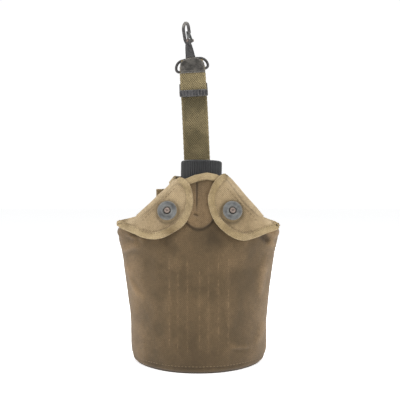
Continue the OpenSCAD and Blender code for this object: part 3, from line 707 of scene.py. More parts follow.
def cover_surface():
    """The cover as a grid: points, outward normals, wear with painted highlight, and painted shade. Columns
    go round from the right.
    """
    front_share = smoothstep(0.35, -0.35, np.sin(ring_angle))
    top_x = cover_ring(ring_angle, np.full(COLS, 168.0))[:, 0]
    rim = rim_z(top_x, front_share)
    level = np.linspace(0, 1, ROWS)[:, None]
    z = level * rim[None, :]
    p = cover_ring(np.broadcast_to(ring_angle, z.shape), z)
    wide = np.concatenate([p[:, -3:], p, p[:, :3]], 1)
    n = grid_normals(wide)[:, 3:-3]
    x, z = p[..., 0], p[..., 2]
    is_front = smoothstep(0.1, -0.3, np.sin(ring_angle))[None, :]
    fade = smoothstep(0, 12, z) * (1 - smoothstep(150, 166, z))
    lift = noise_field(p * (1, 1, 0.45), 26, 2, 3.1) * 0.9 * fade
    lift = lift + noise_field(p * (1, 1, 0.7), 9, 2, 8.4) * 0.28 * fade
    # Creases of the front and the back: start and end in X and Z, width and height.
    creases = [
        ((-68, 91), (-51, 61), 4.2, 1.3), ((-64, 84), (-50, 66), 3.0, -0.9),
        ((-70, 103), (-52, 111), 3.4, 1.5), ((-70, 98), (-55, 104), 2.6, -1.1),
        ((-63, 119), (-47, 113), 2.6, 1.7), ((-58, 122), (-50, 112), 2.2, -1.2),
        ((60, 96), (55, 62), 4.6, 1.2), ((66, 88), (60, 62), 4.0, -1.0),
        ((60, 38), (52, 20), 3.8, 0.9), ((28, 22), (46, 19), 2.0, 0.8), ((29, 19.5), (45, 17), 1.6, -0.6),
        ((-30, 114), (-18, 104), 4.0, -0.9), ((8, 118), (22, 108), 4.5, -0.6),
        ((-72, 117), (-64, 126), 5.0, 1.9), ((72, 116), (64, 125), 5.0, 1.7),
        ((54, 119), (63, 110), 2.4, -2.2), ((58, 123), (68, 117), 2.4, 1.6),
        ((62, 113), (70, 106), 3.0, 1.3),
        ((-50, 40), (-44, 12), 5.0, 0.6), ((-22, 96), (-26, 30), 6.0, 0.35),
        ((20, 100), (27, 28), 6.0, 0.4),
    ]
    lift = lift + ridges(x, z, creases) * is_front
    back_creases = [((-52, 30), (-40, 96), 7, 1.2), ((50, 24), (44, 88), 8, 1.3),
                    ((-20, 100), (10, 92), 6, -0.8), ((-30, 20), (20, 14), 5, 0.9),
                    ((30, 108), (52, 96), 4, 1.2)]
    lift = lift + ridges(x, z, back_creases) * (1 - is_front)
    # The gathered tongue between the flaps, its fold and its seam.
    side = smoothstep(-13.5, -9, x) * (1 - smoothstep(10.5, 15, x))
    foot = 123.0 + 0.05 * (x - 0.5) ** 2
    tongue = side * smoothstep(0, 2.6, z - foot) * (1 - smoothstep(150, 168, z)) * is_front
    flat_lift = lift.copy()
    lift = lift + 2.3 * tongue
    tongue_folds = [((4.5, 160), (4.5, 134), 2.6, 1.0), ((-1.3, 166), (-1.3, 138), 0.8, -1.2),
                    ((-4.5, 136), (0.5, 134.2), 1.0, -1.6), ((-5.5, 133), (1.5, 131), 1.6, 0.9)]
    lift = lift + ridges(x, z, tongue_folds) * is_front
    # The hem round the base, and the seam up each side.
    lift = lift + 0.4 * bell(z - HEM_Z, 1.6) - 0.25 * bell(z - HEM_GROOVE_Z, 0.8)
    seam = np.minimum(ring_angle, 2 * math.pi - ring_angle)[None, :] * SIDE_RADIUS
    seam_left = np.abs(ring_angle - math.pi)[None, :] * SIDE_RADIUS
    for gap in (seam, seam_left):
        lift = lift + (0.9 * bell(gap, 2.6)) * smoothstep(2, 8, z)
    p = p + n * lift[..., None]
    # Under the flaps the shoulders are drawn in, so that the fold is the outermost line.
    off = p[..., 0] - sway(z)
    limit = fold_off(z) - SHOULDER_GAP
    excess = np.clip(np.abs(off) - limit, 0, None) * smoothstep(126, 134, z) * (1 - smoothstep(161, 167, z))
    p[..., 0] -= np.sign(off) * excess * SHOULDER_DRAW
    # Wear rubs the raised parts pale; the side edges of the cover are paler still, worn and with a painted
    # highlight where they turn toward the side lights, and the upper front is a little paler.
    reach = np.abs(x - sway(z)) / table("width", z)
    wear_and_painted_highlight = 0.3 * smoothstep(0.6, 0.98, reach) + 0.3 * np.clip(flat_lift, 0, 1.4)
    wear_and_painted_highlight = wear_and_painted_highlight + 0.1 * smoothstep(116, 130, z) * is_front
    wear_and_painted_highlight = wear_and_painted_highlight + 0.22 * tongue + 0.12 * bell(z - HEM_Z, 1.2)
    breaks = noise_field(p, 7, 2, 5.5)
    fine_breaks = noise_field(p * (1, 1, 1.3), 3.2, 2, 6.5)
    for line in (-24.8, -17.5, -9.4, 0.9, 8.5, 17.1, 25.6):
        run = smoothstep(12, 26, z) * (1 - smoothstep(88, 108, z))
        strand = bell(x - line - 0.4 * breaks, 0.32)
        wear_and_painted_highlight = wear_and_painted_highlight + 0.42 * strand * run * np.clip(0.1 + 1.7 * fine_breaks, 0, 1) * is_front
        wear_and_painted_highlight = wear_and_painted_highlight + 0.07 * bell(x - line, 1.6) * run * is_front
    wear_and_painted_highlight = wear_and_painted_highlight + 0.12 * noise_field(p, 14, 3, 1.7)
    # Painted shade darkens the hollows, the foot, the lower canvas, the band under the flaps and the left
    # ear, the folds, the tongue's lower edge and the hem's groove.
    painted_shade_and_dirt = 0.3 * np.clip(-lift, 0, 1.4) + 0.25 * bell(z, 5)
    painted_shade_and_dirt = painted_shade_and_dirt + 0.26 * (1 - smoothstep(0, 66, z))
    painted_shade_and_dirt = painted_shade_and_dirt + 0.3 * smoothstep(94, 122, z) * is_front * (1 - tongue)
    painted_shade_and_dirt = painted_shade_and_dirt + 0.3 * smoothstep(-34, -62, x) * smoothstep(84, 108, z) * is_front
    shaded_folds = [((55, 119), (63, 111), 1.9, 0.5), ((-1.3, 165), (-1.3, 140), 0.55, 0.95),
                   ((-4.5, 136), (0.5, 134.2), 0.8, 0.7)]
    painted_shade_and_dirt = painted_shade_and_dirt + ridges(x, z, shaded_folds) * is_front
    painted_shade_and_dirt = painted_shade_and_dirt + 0.75 * side * bell(z - foot + 0.2, 1.3) * is_front
    painted_shade_and_dirt = painted_shade_and_dirt + 0.12 * bell(z - HEM_GROOVE_Z, 0.8)
    return p, n, np.clip(wear_and_painted_highlight, 0, 1), np.clip(painted_shade_and_dirt, 0, 1)


cover_p, cover_n, cover_wear_and_painted_highlight, cover_painted_shade_and_dirt = cover_surface()


def cover_uv():
    """Millimetres round from the middle of the front, and up."""
    step = np.linalg.norm(np.roll(cover_p, -1, 1) - cover_p, axis=-1)
    run = np.concatenate([np.zeros((ROWS, 1)), np.cumsum(step, axis=1)[:, :-1]], 1)
    run -= run[:, int(COLS * 0.75)][:, None]
    rise = np.linalg.norm(np.diff(cover_p, axis=0), axis=-1)
    up = np.concatenate([np.zeros((1, COLS)), np.cumsum(rise, axis=0)])
    return np.stack([run, up], -1)


cover_map = cover_uv()


def cover_piece(name, columns, node):
    cut = np.array(columns) % COLS
    uv = cover_map[:, cut].copy()
    if 0 in cut and cut[0] > cut[-1]:
        uv[:, -1, 0] = uv[:, -2, 0] + 1.0
    obj = new_object(name, cover_p[:, cut].reshape(-1, 3), grid_faces(ROWS, len(cut)), uv.reshape(-1, 2))
    mark(obj, "wear_and_painted_highlight", cover_wear_and_painted_highlight[:, cut])
    mark(obj, "painted_shade_and_dirt", cover_painted_shade_and_dirt[:, cut])
    solidify(obj, CANVAS_T)
    return dress(obj, "cover", CANVAS, "canvas", node)


half_cols = COLS // 2
cover_piece("canvas_front", range(half_cols, COLS + 1), "cover_front")
cover_piece("canvas_back", range(0, half_cols + 1), "cover_back")

# The base is a slightly sagging sheet inside the hem.
BASE_RINGS = 14
base_p, share, base_faces = drumhead(cover_p[1] * (1, 1, 0), BASE_RINGS)
base_p[..., 2] = 0.05 + 0.5 * (1 - smoothstep(0.72, 1.0, share))
base = new_object("canvas_base", base_p.reshape(-1, 3), base_faces, base_p[..., :2].reshape(-1, 2))
mark(base, "wear_and_painted_highlight", np.broadcast_to(0.15 + 0.6 * smoothstep(0.85, 1.0, share), (BASE_RINGS, COLS)))
mark(base, "painted_shade_and_dirt", np.full(BASE_RINGS * COLS, 0.3))
dress(base, "cover", CANVAS, "canvas", "cover_bottom")


def on_cover(column, height):
    """A point on the cover's skin and its outward normal, by column and height."""
    column = int(round(column)) % COLS
    z = cover_p[:, column, 2]
    point = np.array([np.interp(height, z, cover_p[:, column, k]) for k in range(3)])
    normal = np.array([np.interp(height, z, cover_n[:, column, k]) for k in range(3)])
    return point, normal / np.linalg.norm(normal)


def stitch_line(name, places, body="cover", material=None, **how):
    points, normals = zip(*places)
    obj = stitches(name, points, normals, **how)
    return dress(obj, body, material or THREAD, "binding")


hem = [on_cover(c, 6.6) for c in range(0, COLS, 2)] + [on_cover(0, 6.6)]
stitch_line("hem_stitches", hem, pitch=3.0, length=2.1, material=THREAD_DARK)
SEAM_STITCHES = {"side_stitches_right": -4, "side_stitches_left": half_cols + 4,
                 "back_seam_stitches_right": 5, "back_seam_stitches_left": half_cols - 5}
for name, column in SEAM_STITCHES.items():
    stitch_line(name, [on_cover(column, z) for z in np.linspace(9, 122, 60)], pitch=3.2, length=2.3)

# The rim of the throat: a tape folded over the edge, proud of the canvas, with a dark line below it.
rim_points, rim_up = zip(*[on_cover(c, cover_p[-1, c, 2] - 2.6) for c in range(COLS)])
rim_tape = np.array(rim_points) + np.array(rim_up) * 0.1
tape = sweep("throat_tape", rim_tape, rounded_rectangle(TAPE_WIDTH, 3.6, 1.3, 4), rim_up, closed=True)
mark(tape, "wear_and_painted_highlight", 0.35 + 0.3 * noise_field(points_of(tape), 9, 2, 2.2))
dress(tape, "cover", BINDING, "binding", "throat_binding")
stitch_line("throat_stitches", [(p + n * 1.8 - np.array((0, 0, 1.6)), n) for p, n in zip(rim_tape, rim_up)],
            material=THREAD_DARK, pitch=2.9, length=2.0, lift=0.05)

# ---------------------------------------------------------------- the snap flaps
FLAP = {
    "left": [(22.5, 166.5), (55, 134.2), (62, 132.3), (69.2, 130.5), (71.9, 127.6), (68.4, 124.2),
             (61.6, 121.8), (55, 119.3), (48.5, 116.6), (41, 115.2), (33.6, 115.8), (25, 119.2),
             (16, 125), (10.3, 132), (7.2, 141), (6.8, 149.5), (9, 158.5), (13, 164.6), (18, 167.6)],
    "right": [(24.5, 168), (55.5, 133.6), (60.5, 131.6), (66.8, 129.4), (70.2, 126.2), (67.2, 122.8),
              (59.2, 120.4), (51.8, 117.4), (45.8, 115.4), (37.6, 114.2), (28.2, 117.2), (19.6, 123.4),
              (13, 130.6), (8.8, 140), (7, 150), (9.6, 159.4), (13.6, 166), (18, 170), (21.4, 171)],
}
HAND = {"left": -1, "right": 1}
SNAP_OFF, SNAP_Z = 27.5, 138.0
HOLE_R = 4.9
FLAP_D = 3.1            # the flap's depth outside the cover's skin
SOCKET_HEIGHT = 3.45    # of the snap's disc above the cover's skin


def flap_y(off, z, d):
    """The flap's depth: it follows the cover's front and runs on straight where it stands out as an ear."""
    edge = np.minimum(np.abs(off), 0.72 * (table("width", z) + d))
    return front_y(edge, z, d) + (np.abs(off) - edge) * 0.4


def flap_point(side, off, z, d):
    hand = HAND[side]
    off, z, d = np.broadcast_arrays(np.asarray(off, float), np.asarray(z, float), np.asarray(d, float))
    return np.stack([hand * off + sway(z), flap_y(off, z, d), z], -1)


def flap_normal(side, off, z):
    """Outward normal of the flap, from its slopes."""
    hand = HAND[side]
    step = 0.5
    dx = (flap_y(off + step, z, FLAP_D) - flap_y(off - step, z, FLAP_D)) / (2 * step)
    dz = (flap_y(off, z + step, FLAP_D) - flap_y(off, z - step, FLAP_D)) / (2 * step)
    n = np.stack([hand * dx, -np.ones_like(dx), dz], -1)
    return n / np.linalg.norm(n, axis=-1, keepdims=True)


def flap_relief(off, z, seed):
    """Soft ripples in the flap's cloth, stronger toward the ear."""
    where = np.stack([off, z, np.full_like(off, seed)], -1)
    return noise_field(where, 15, 2, seed) * (0.45 + 0.5 * smoothstep(48, 66, off))


def face_toward(obj, way):
    """Turns an open sheet's faces so that, taken together, they look the given way."""
    bm = bmesh.new()
    bm.from_mesh(obj.data)
    bmesh.ops.recalc_face_normals(bm, faces=bm.faces)
    if sum(f.normal.dot(Vector(way)) * f.calc_area() for f in bm.faces) < 0:
        bmesh.ops.reverse_faces(bm, faces=bm.faces)
    bm.to_mesh(obj.data)
    bm.free()


def build_flap(side):
    hand = HAND[side]
    seed = 4.4 if side == "left" else 9.1
    outline = np.array(FLAP[side], float)
    fold_rays = 44
    rest = spline(outline[1:].tolist() + [outline[0].tolist()], 190)
    fold = outline[0] + (outline[1] - outline[0]) * np.linspace(0, 1, fold_rays, endpoint=False)[:, None]
    edge = np.concatenate([fold, rest[:-1]])
    snap = np.array([SNAP_OFF, SNAP_Z])
    rays = len(edge)
    rings = 30
    out = edge - snap
    far = np.linalg.norm(out, axis=1)
    bearing = np.unwrap(np.arctan2(out[:, 1], out[:, 0]))
    turn = math.copysign(1, bearing[-1] - bearing[0])
    climb = 0.0008 * np.arange(rays)
    bearing = turn * (np.maximum.accumulate(turn * bearing - climb) + climb)
    out = np.stack([np.cos(bearing), np.sin(bearing)], -1) * far[:, None]
    # The rings are evenly spaced from the snap's hole to the edge.
    share = np.linspace(0, 1, rings)[:, None]
    radius = HOLE_R + (far - HOLE_R) * share
    flat = snap + out / far[:, None] * radius[..., None]
    off, z = flat[..., 0], flat[..., 1]
    ripple = flap_relief(off, z, seed) * smoothstep(8, 16, radius)
    dent = -0.55 * bell(radius - 10.5, 2.2)
    p = flap_point(side, off, z, FLAP_D + ripple + dent)
    panel_uv = np.stack([off, z], -1)
    # The roof part carries on over the shoulder to the back, where it is sewn down.
    over = 34
    fold_p = p[-1, :fold_rays]
    fold_x, fold_z = off[-1, :fold_rays], z[-1, :fold_rays]
    z_mid = fold_z[:, None]
    width, _, middle_y, bend, _ = section(z_mid)
    rel_y = fold_p[:, 1:2] - middle_y - bend * (fold_x[:, None] / width) ** 2
    start = np.arctan2(rel_y, fold_x[:, None])
    t = np.linspace(0, 1, over)[None, :]
    angle = start + (math.radians(64) - start) * t
    d = FLAP_D - 1.6 * smoothstep(0.55, 1, t) + noise_field(
        np.stack(np.broadcast_arrays(angle * 40, z_mid, seed), -1), 14, 2, seed) * 0.7 * np.sin(math.pi * t)
    w, half, _, _, n = section(z_mid, d)
    r = squared(np.cos(angle), np.sin(angle), w, half, n)
    x, y = r * np.cos(angle), r * np.sin(angle)
    x = np.minimum(x, fold_x[:, None] + 0.3 + 0.1 * np.clip(x - fold_x[:, None], 0, None))
    y = middle_y + bend * (x / w) ** 2 + y
    roof = np.stack([hand * x + sway(z_mid), y, z_mid + 0 * x], -1)
    roof = roof + (fold_p[:, None] - roof[:, :1]) * (1 - smoothstep(0, 0.3, t))[..., None]
    run = np.concatenate([np.zeros((fold_rays, 1)),
                          np.cumsum(np.linalg.norm(np.diff(roof, axis=1), axis=-1), 1)], 1)
    roof_uv = np.stack([fold_x[:, None] + run, fold_z[:, None] + 0 * run], -1)
    panel = new_object("flap_cloth_" + side, p.reshape(-1, 3), grid_faces(rings, rays, close_cols=True),
                       panel_uv.reshape(-1, 2))
    face_toward(panel, (0, -1, 0))
    to_edge = far * (1 - share)
    wear_and_painted_highlight = 0.15 + 0.5 * bell(off + z - 189, 4.0) + 0.35 * np.clip(ripple, 0, 1)
    wear_and_painted_highlight = wear_and_painted_highlight + 0.2 * noise_field(np.stack([off, z, 0 * z + seed], -1), 8, 3, 0.7)
    wear_and_painted_highlight = wear_and_painted_highlight - (0.25 if side == "right" else 0.0)
    # Painted shade in a ring round the snap's dent and along the inside of the binding; the right flap is a
    # little darker all over.
    painted_shade_and_dirt = 0.6 * bell(radius - 9.4, 1.6) + 0.45 * bell(to_edge - 6.6, 1.2)
    painted_shade_and_dirt = painted_shade_and_dirt + (0.12 if side == "right" else 0.0)
    mark(panel, "wear_and_painted_highlight", np.clip(wear_and_painted_highlight, 0, 1))
    mark(panel, "painted_shade_and_dirt", np.clip(painted_shade_and_dirt, 0, 1))
    solidify(panel, 1.4)
    dress(panel, "flap_" + side, FLAP_CANVAS, "canvas", "flap_" + side)
    # The roof part is its own piece, split from the panel at the fold, and stays on the cover.
    cover_part = new_object("flap_roof_" + side, roof.reshape(-1, 3), grid_faces(fold_rays, over),
                            roof_uv.reshape(-1, 2))
    face_toward(cover_part, (hand, 0, 0.3))
    roof_wear = 0.35 + 0.5 * np.exp(-(t * 12) ** 2) + 0.2 * noise_field(roof, 10, 2, 3.0)
    mark(cover_part, "wear_and_painted_highlight", np.clip(roof_wear, 0, 1))
    mark(cover_part, "painted_shade_and_dirt", np.full(fold_rays * over, 0.1))
    solidify(cover_part, 1.4)
    dress(cover_part, "cover", FLAP_CANVAS, "canvas")

    # The binding: a tape folded over the free edge.
    tape_off = spline(outline[1:].tolist() + [outline[0].tolist()], 200)
    tape_off = tape_off[22:-3]
    ahead = np.gradient(tape_off, axis=0)
    ahead /= np.linalg.norm(ahead, axis=1, keepdims=True)
    inward = np.stack([ahead[:, 1], -ahead[:, 0]], -1)
    if np.dot(inward[60], snap - tape_off[60]) < 0:
        inward = -inward
    ends = np.minimum(np.arange(len(tape_off)), np.arange(len(tape_off))[::-1]) / 14.0
    middle = tape_off + inward * 2.6
    wave = noise_field(np.stack([middle[:, 0], middle[:, 1], 0 * middle[:, 0] + seed], -1), 11, 2, seed)
    depth = FLAP_D - 0.75 + flap_relief(middle[:, 0], middle[:, 1], seed) + 0.2 * wave
    path = flap_point(side, middle[:, 0], middle[:, 1], depth)
    normals = flap_normal(side, middle[:, 0], middle[:, 1])
    size = np.stack([1 + 0.07 * wave, (1 + 0.18 * wave) * (0.75 + 0.25 * np.minimum(ends, 1))], -1)
    profile = rounded_rectangle(TAPE_WIDTH, 3.7, 1.5, 5)
    tape = sweep("flap_tape_" + side, path, profile, normals, scale=size)
    spots = points_of(tape)
    worn_and_highlit = 0.42 if side == "left" else 0.2
    mark(tape, "wear_and_painted_highlight", np.clip(worn_and_highlit + 0.45 * noise_field(spots, 10, 3, seed), 0, 1))
    dress(tape, "flap_" + side, BINDING, "binding", "flap_binding_" + side)

    def sew(name, line, above, **how):
        """A row of stitches along (off, z) points, above the flap's cloth."""
        o, h = line[:, 0], line[:, 1]
        row = flap_point(side, o, h, FLAP_D + above + flap_relief(o, h, seed))
        stitch_line(name + side, list(zip(row, flap_normal(side, o, h))), "flap_" + side, THREAD_DARK, **how)

    # One row along the tape, a second on the lower half, and a row along the fold.
    sew("flap_tape_stitches_", (tape_off + inward * 4.7)[4:-4], 0.75, pitch=2.7, length=1.9, thick=0.5,
        lift=0.15)
    again = slice(40, 95)
    sew("flap_panel_stitches_", tape_off[again] + inward[again] * 6.6, 0.1, pitch=2.9, length=2.0)
    top, foot = np.array([(22.5, 158.6), (49.5, 130.3)])
    sew("fold_stitches_", top + (foot - top) * np.linspace(0, 1, 40)[:, None], 0.1, pitch=3.0, length=2.0)


for side in ("left", "right"):
    build_flap(side)

# ---------------------------------------------------------------- snap fasteners
slope_x = float(front_y(31.5, SNAP_Z) - front_y(23.5, SNAP_Z)) / 8
slope_z = float(front_y(27.5, 143.0) - front_y(27.5, 133.0)) / 10


def snap_place(side, height):
    """A 4x4 at the snap, Z outward, height above the cover's skin."""
    hand = HAND[side]
    lo, hi = node_box("snap_socket_" + side)
    middle = (lo + hi) / 2
    out = np.array([hand * slope_x, -1, slope_z])
    out /= np.linalg.norm(out)
    skin = middle - out * 3.2
    return frame_at(skin + out * height, out)


SOCKET = [(2.9, -2.1), (3.95, -2.1), (4.2, -0.1), (7.4, 0.0), (8.0, 0.1), (8.35, 0.4), (8.4, 0.75),
          (8.2, 1.05), (7.7, 1.22), (7.1, 1.12), (6.3, 0.98), (5.4, 1.0), (4.9, 1.12), (4.5, 1.36),
          (4.15, 1.52), (3.75, 1.5), (3.1, 1.3), (2.9, 1.0)]
STUD_PROFILE = [(0, -2.4), (1.55, -2.4), (1.6, 0.0), (4.9, 0.02), (5, 0.3), (4.6, 0.5), (1.7, 0.7),
                (1.6, 3.6), (1.9, 4.2), (2.35, 4.8), (2.5, 5.3), (2.4, 5.8), (2.0, 6.3), (1.4, 6.62),
                (0.7, 6.78), (0, 6.82)]
for side in ("left", "right"):
    socket = revolve("snap_disc_" + side, SOCKET, 72, snap_place(side, SOCKET_HEIGHT))
    edge_wear(socket, 1.1)
    dress(socket, "flap_" + side, SNAP, "snap_metal", "snap_socket_" + side)
    stud = revolve("snap_post_" + side, STUD_PROFILE, 40, snap_place(side, 0.0))
    edge_wear(stud, 0.8)
    dress(stud, "cover", STUD_METAL, "snap_metal", "snap_stud_" + side)

# ---------------------------------------------------------------- band and strap on the back
strap_turn = frame_at((0, 0, 0), strap_up, strap_across)
strap_frame = strap_turn.copy()
strap_frame[:3, 3] = rear_bar - strap_turn[:3, :3] @ np.array([0, rear_bar[1], REAR_BAR_Z])


def in_frame(m, points):
    return np.asarray(points, float) @ m[:3, :3].T + m[:3, 3]


def back_y(x, z):
    """The depth of the cover's back."""
    w, half, middle, bend, n = section(z)
    u = np.minimum(np.abs(x) / w, 0.985)
    return middle + bend * u * u + half * (1 - u ** n) ** (1 / n)


def band_y(x, z, face):
    """The band's depth: its middle lies at face and its ends are held down on the cover."""
    held = smoothstep(17, 36, np.abs(x))
    y = (face - 0.9) * (1 - held) + (back_y(x, z) + 1.6) * held
    return y + noise_field(np.stack([x, z, 0 * x], -1), 16, 2, 6.0) * 0.5 * (1 - np.abs(x) / 44)


def build_band():
    lo, hi = node_box("back_web_band")
    xs = np.linspace(lo[0] - 0.4, hi[0] + 0.4, 90)
    zs = np.linspace(lo[2], hi[2], 50)
    x, z = np.meshgrid(xs, zs)
    y = band_y(x, z, hi[1])
    uv = np.stack([z, x], -1)
    faces = [f[::-1] for f in grid_faces(50, 90)]
    obj = new_object("web_band", np.stack([x, y, z], -1).reshape(-1, 3), faces, uv.reshape(-1, 2))
    edge = np.maximum(smoothstep(38, 40.2, np.abs(x)),
                      smoothstep(20.6, 22.3, np.abs(z - (lo[2] + hi[2]) / 2)))
    rubbed = 0.25 + 0.6 * edge + 0.3 * noise_field(np.stack([x, y, z], -1), 9, 3, 1.0)
    mark(obj, "wear_and_painted_highlight", np.clip(rubbed, 0, 1))
    solidify(obj, 1.8, 0.0)
    m = obj.modifiers.new("soft_edge", "BEVEL")
    m.width, m.segments, m.limit_method = 0.5 * MM, 2, "ANGLE"
    dress(obj, "cover", BAND, "webbing", "back_web_band")
    rows = []
    for inset in (2.0, 4.6):
        for hand in (-1, 1):
            at = hand * (hi[0] - inset)
            rows.append([(at, v) for v in np.linspace(lo[2] + 2, hi[2] - 2, 30)])
    box_x, low, high = 10.6, lo[2] + 4, hi[2] - 6
    rows.append([(-box_x, low), (-box_x, high), (box_x, high), (box_x, low), (-box_x, low), (box_x, high)])
    rows.append([(-box_x, high), (box_x, low)])
    for k, row in enumerate(rows):
        row = np.array(row)
        length = np.concatenate([[0], np.cumsum(np.linalg.norm(np.diff(row, axis=0), axis=1))])
        t = np.linspace(0, length[-1], max(20, int(length[-1] / 1.5)))
        rx, rz = np.interp(t, length, row[:, 0]), np.interp(t, length, row[:, 1])
        ry = band_y(rx, rz, hi[1]) + 1.0
        stitch_line("band_stitches_%d" % k,
                    list(zip(np.stack([rx, ry, rz], -1), np.tile((0.0, 1.0, 0.0), (len(rx), 1)))),
                    pitch=2.8, length=2.0)


build_band()


def strap_point(along):
    """The middle of the main strap at a height: straight up to the lean, then in the strap's frame."""
    upright = np.stack([0 * along, np.full_like(along, STRAP_Y), along], -1)
    leaning = in_frame(strap_frame, upright)
    share = smoothstep(LEAN_Z - 7, LEAN_Z + 7, along)[:, None]
    return upright * (1 - share) + leaning * share


def build_strap():
    low = node_box("strap_root")[0][2]
    along = np.concatenate([np.linspace(low, TIP_LOW - 0.5, 250),
                            np.linspace(TIP_LOW + 0.4, TIP_LOW + 13, 14)])
    path = strap_point(along)
    below_buckle = 1 - smoothstep(235, 262, along)
    path[:, 1] += 0.35 * np.sin(along / 19.0) * smoothstep(168, 185, along) * below_buckle
    path[:, 0] += 0.3 * np.sin(along / 33.0) * smoothstep(165, 185, along) * below_buckle
    wide = np.where(along > TIP_LOW, 0.84, 1.0)
    wide = wide * (1 + 0.008 * np.sin(along * 1.3) + 0.006 * np.sin(along * 3.1))
    obj = sweep("main_web", path, web_section(WEB_W, WEB_T, 26), (0, -1, 0),
                scale=np.stack([wide, 0 * wide + 1], -1))
    spots = points_of(obj)
    local = np.abs(spots[:, 0] - np.interp(spots[:, 2], path[:, 2], path[:, 0]))
    wear_and_painted_highlight = 0.15 + 0.45 * smoothstep(10.5, 12.6, local) + 0.3 * noise_field(spots, 12, 3, 2.0)
    wear_and_painted_highlight = wear_and_painted_highlight + 0.45 * smoothstep(248, 262, spots[:, 2])
    mark(obj, "wear_and_painted_highlight", np.clip(wear_and_painted_highlight, 0, 1))
    # Darker low down, fading out between 170 and 215 mm, and in patches.
    painted_shade_and_dirt = 0.55 * (1 - smoothstep(170, 215, spots[:, 2])) + 0.25 * noise_field(spots, 30, 2, 7.0)
    mark(obj, "painted_shade_and_dirt", np.clip(painted_shade_and_dirt, 0, 1))
    obj.data.materials.append(WEBBING)
    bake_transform(obj)
    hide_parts("strap_root", "main_strap")


build_strap()


def shift(x, y, z):
    m = np.eye(4)
    m[:3, 3] = x, y, z
    return m


def arch_outline(width, low, high, radius, steps=40):
    """A plate's outline with straight sides and a rounded top."""
    x = width / 2
    top = [(x * math.cos(a), 0) for a in np.linspace(0, math.pi, steps)]
    side_z = high - radius + math.sqrt(radius ** 2 - x ** 2)
    curve = [(px, high - radius + math.sqrt(radius ** 2 - px ** 2)) for px, _ in top]
    soft = 1.6
    found = [(-x + 0.5, low), (x - 0.5, low), (x, low + 0.5), (x, side_z - soft)]
    found += [(px * 0.995, pz - 0.2 * (abs(px) / x) ** 8) for px, pz in curve if abs(px) < x - 0.5]
    found += [(-x, side_z - soft), (-x, low + 0.5)]
    return found


# The end clip: a folded plate whose two skins bulge a little over the web and are pinched at the foot.
tip_outline = arch_outline(23.9, TIP_LOW, 287.6, 16)
tip = slab("strap_end_clip", tip_outline, 3.4, 0.9, strap_frame @ shift(0, TIP_Y, 0), 5)
bm = bmesh.new()
bm.from_mesh(tip.data)
bmesh.ops.triangulate(bm, faces=[f for f in bm.faces if len(f.verts) > 4])
bm.to_mesh(tip.data)
bm.free()
tip = merge_cast(tip, 0.28, 3)
local = (points_of(tip) - strap_frame[:3, 3]) @ strap_frame[:3, :3]
swell = 0.3 * np.sin(np.clip((local[:, 2] - 274) / 11, 0, 1) * math.pi) * (1 - (local[:, 0] / 12.5) ** 2)
swell -= 0.45 * bell(local[:, 2] - 273.7, 0.7)
swell += 0.12 * noise_field(local, 3.5, 2, 2.0)
move = np.sign(local[:, 1] - TIP_Y) * swell * (np.abs(local[:, 1] - STRAP_Y) > 0.7)
local[:, 1] += move
move_points(tip, in_frame(strap_frame, local))
edge_wear(tip, 2.2)
dress(tip, "strap", TIP, "black_metal", "strap_tip")


def rod(name, a, b, radius, frame_of, bulge=0.0):
    """A round bar between two points of a frame, with domed ends."""
    a, b = np.array(a, float), np.array(b, float)
    length = np.linalg.norm(b - a)
    dome = np.linspace(0.2, 1.57, 5)
    profile = [(0, 0.0)] + [(radius * math.sin(t), radius * 0.5 * (1 - math.cos(t))) for t in dome]
    profile += [(radius + bulge, length / 2)] + [(r, length - h) for r, h in reversed(profile)]
    place = frame_of @ frame_at(a, b - a, (0, 0, 1) if abs((b - a)[2]) < 0.5 * length else (1, 0, 0))
    return revolve(name, profile, 24, place)


def build_buckle():
    half, low, bar = 13.9, 249.0, 6.6
    parts = []
    outline = np.array(rounded_rectangle(2 * half, bar, 1.4, 4)) + (0, low + bar / 2)
    parts.append(slab("bar", outline, 2.2, 0.5, strap_frame @ shift(0, 29.6, 0)))
    for x in np.linspace(-10.5, 10.5, 8):
        rib = np.array(rounded_rectangle(0.9, bar - 1.6, 0.4, 3)) + (x, low + bar / 2)
        parts.append(slab("rib", rib, 1.0, 0.3, strap_frame @ shift(0, 28.8, 0)))
    rear_y = rear_bar[1]
    for x in (-half + 0.5, half - 0.5):
        cheek = [(29.0, low + 1.2), (rear_y - 5, low + 4.5), (rear_y + 1.5, 258.6),
                 (rear_y + 3, 260.4), (rear_y + 2.8, 262.6), (rear_y + 0.6, 264.1), (rear_y - 2, 263.8),
                 (rear_y - 4.6, 261), (31.0, low + bar - 0.4), (29.0, low + bar - 1)]
        turn = np.array([[0, -1, 0, x], [1, 0, 0, 0], [0, 0, 1, 0], [0, 0, 0, 1]], float)
        parts.append(slab("cheek", spline(cheek, 40, True), 1.0, 0.25, strap_frame @ turn))
    parts.append(rod("rear", (-half + 0.4, rear_y, REAR_BAR_Z), (half - 0.4, rear_y, REAR_BAR_Z), 1.5,
                     strap_frame))
    obj = merge_cast(join("slide_buckle", parts), 0.28, 2)
    edge_wear(obj, 2.4)
    dress(obj, "buckle", BLACK, "black_metal", "strap_buckle")


build_buckle()


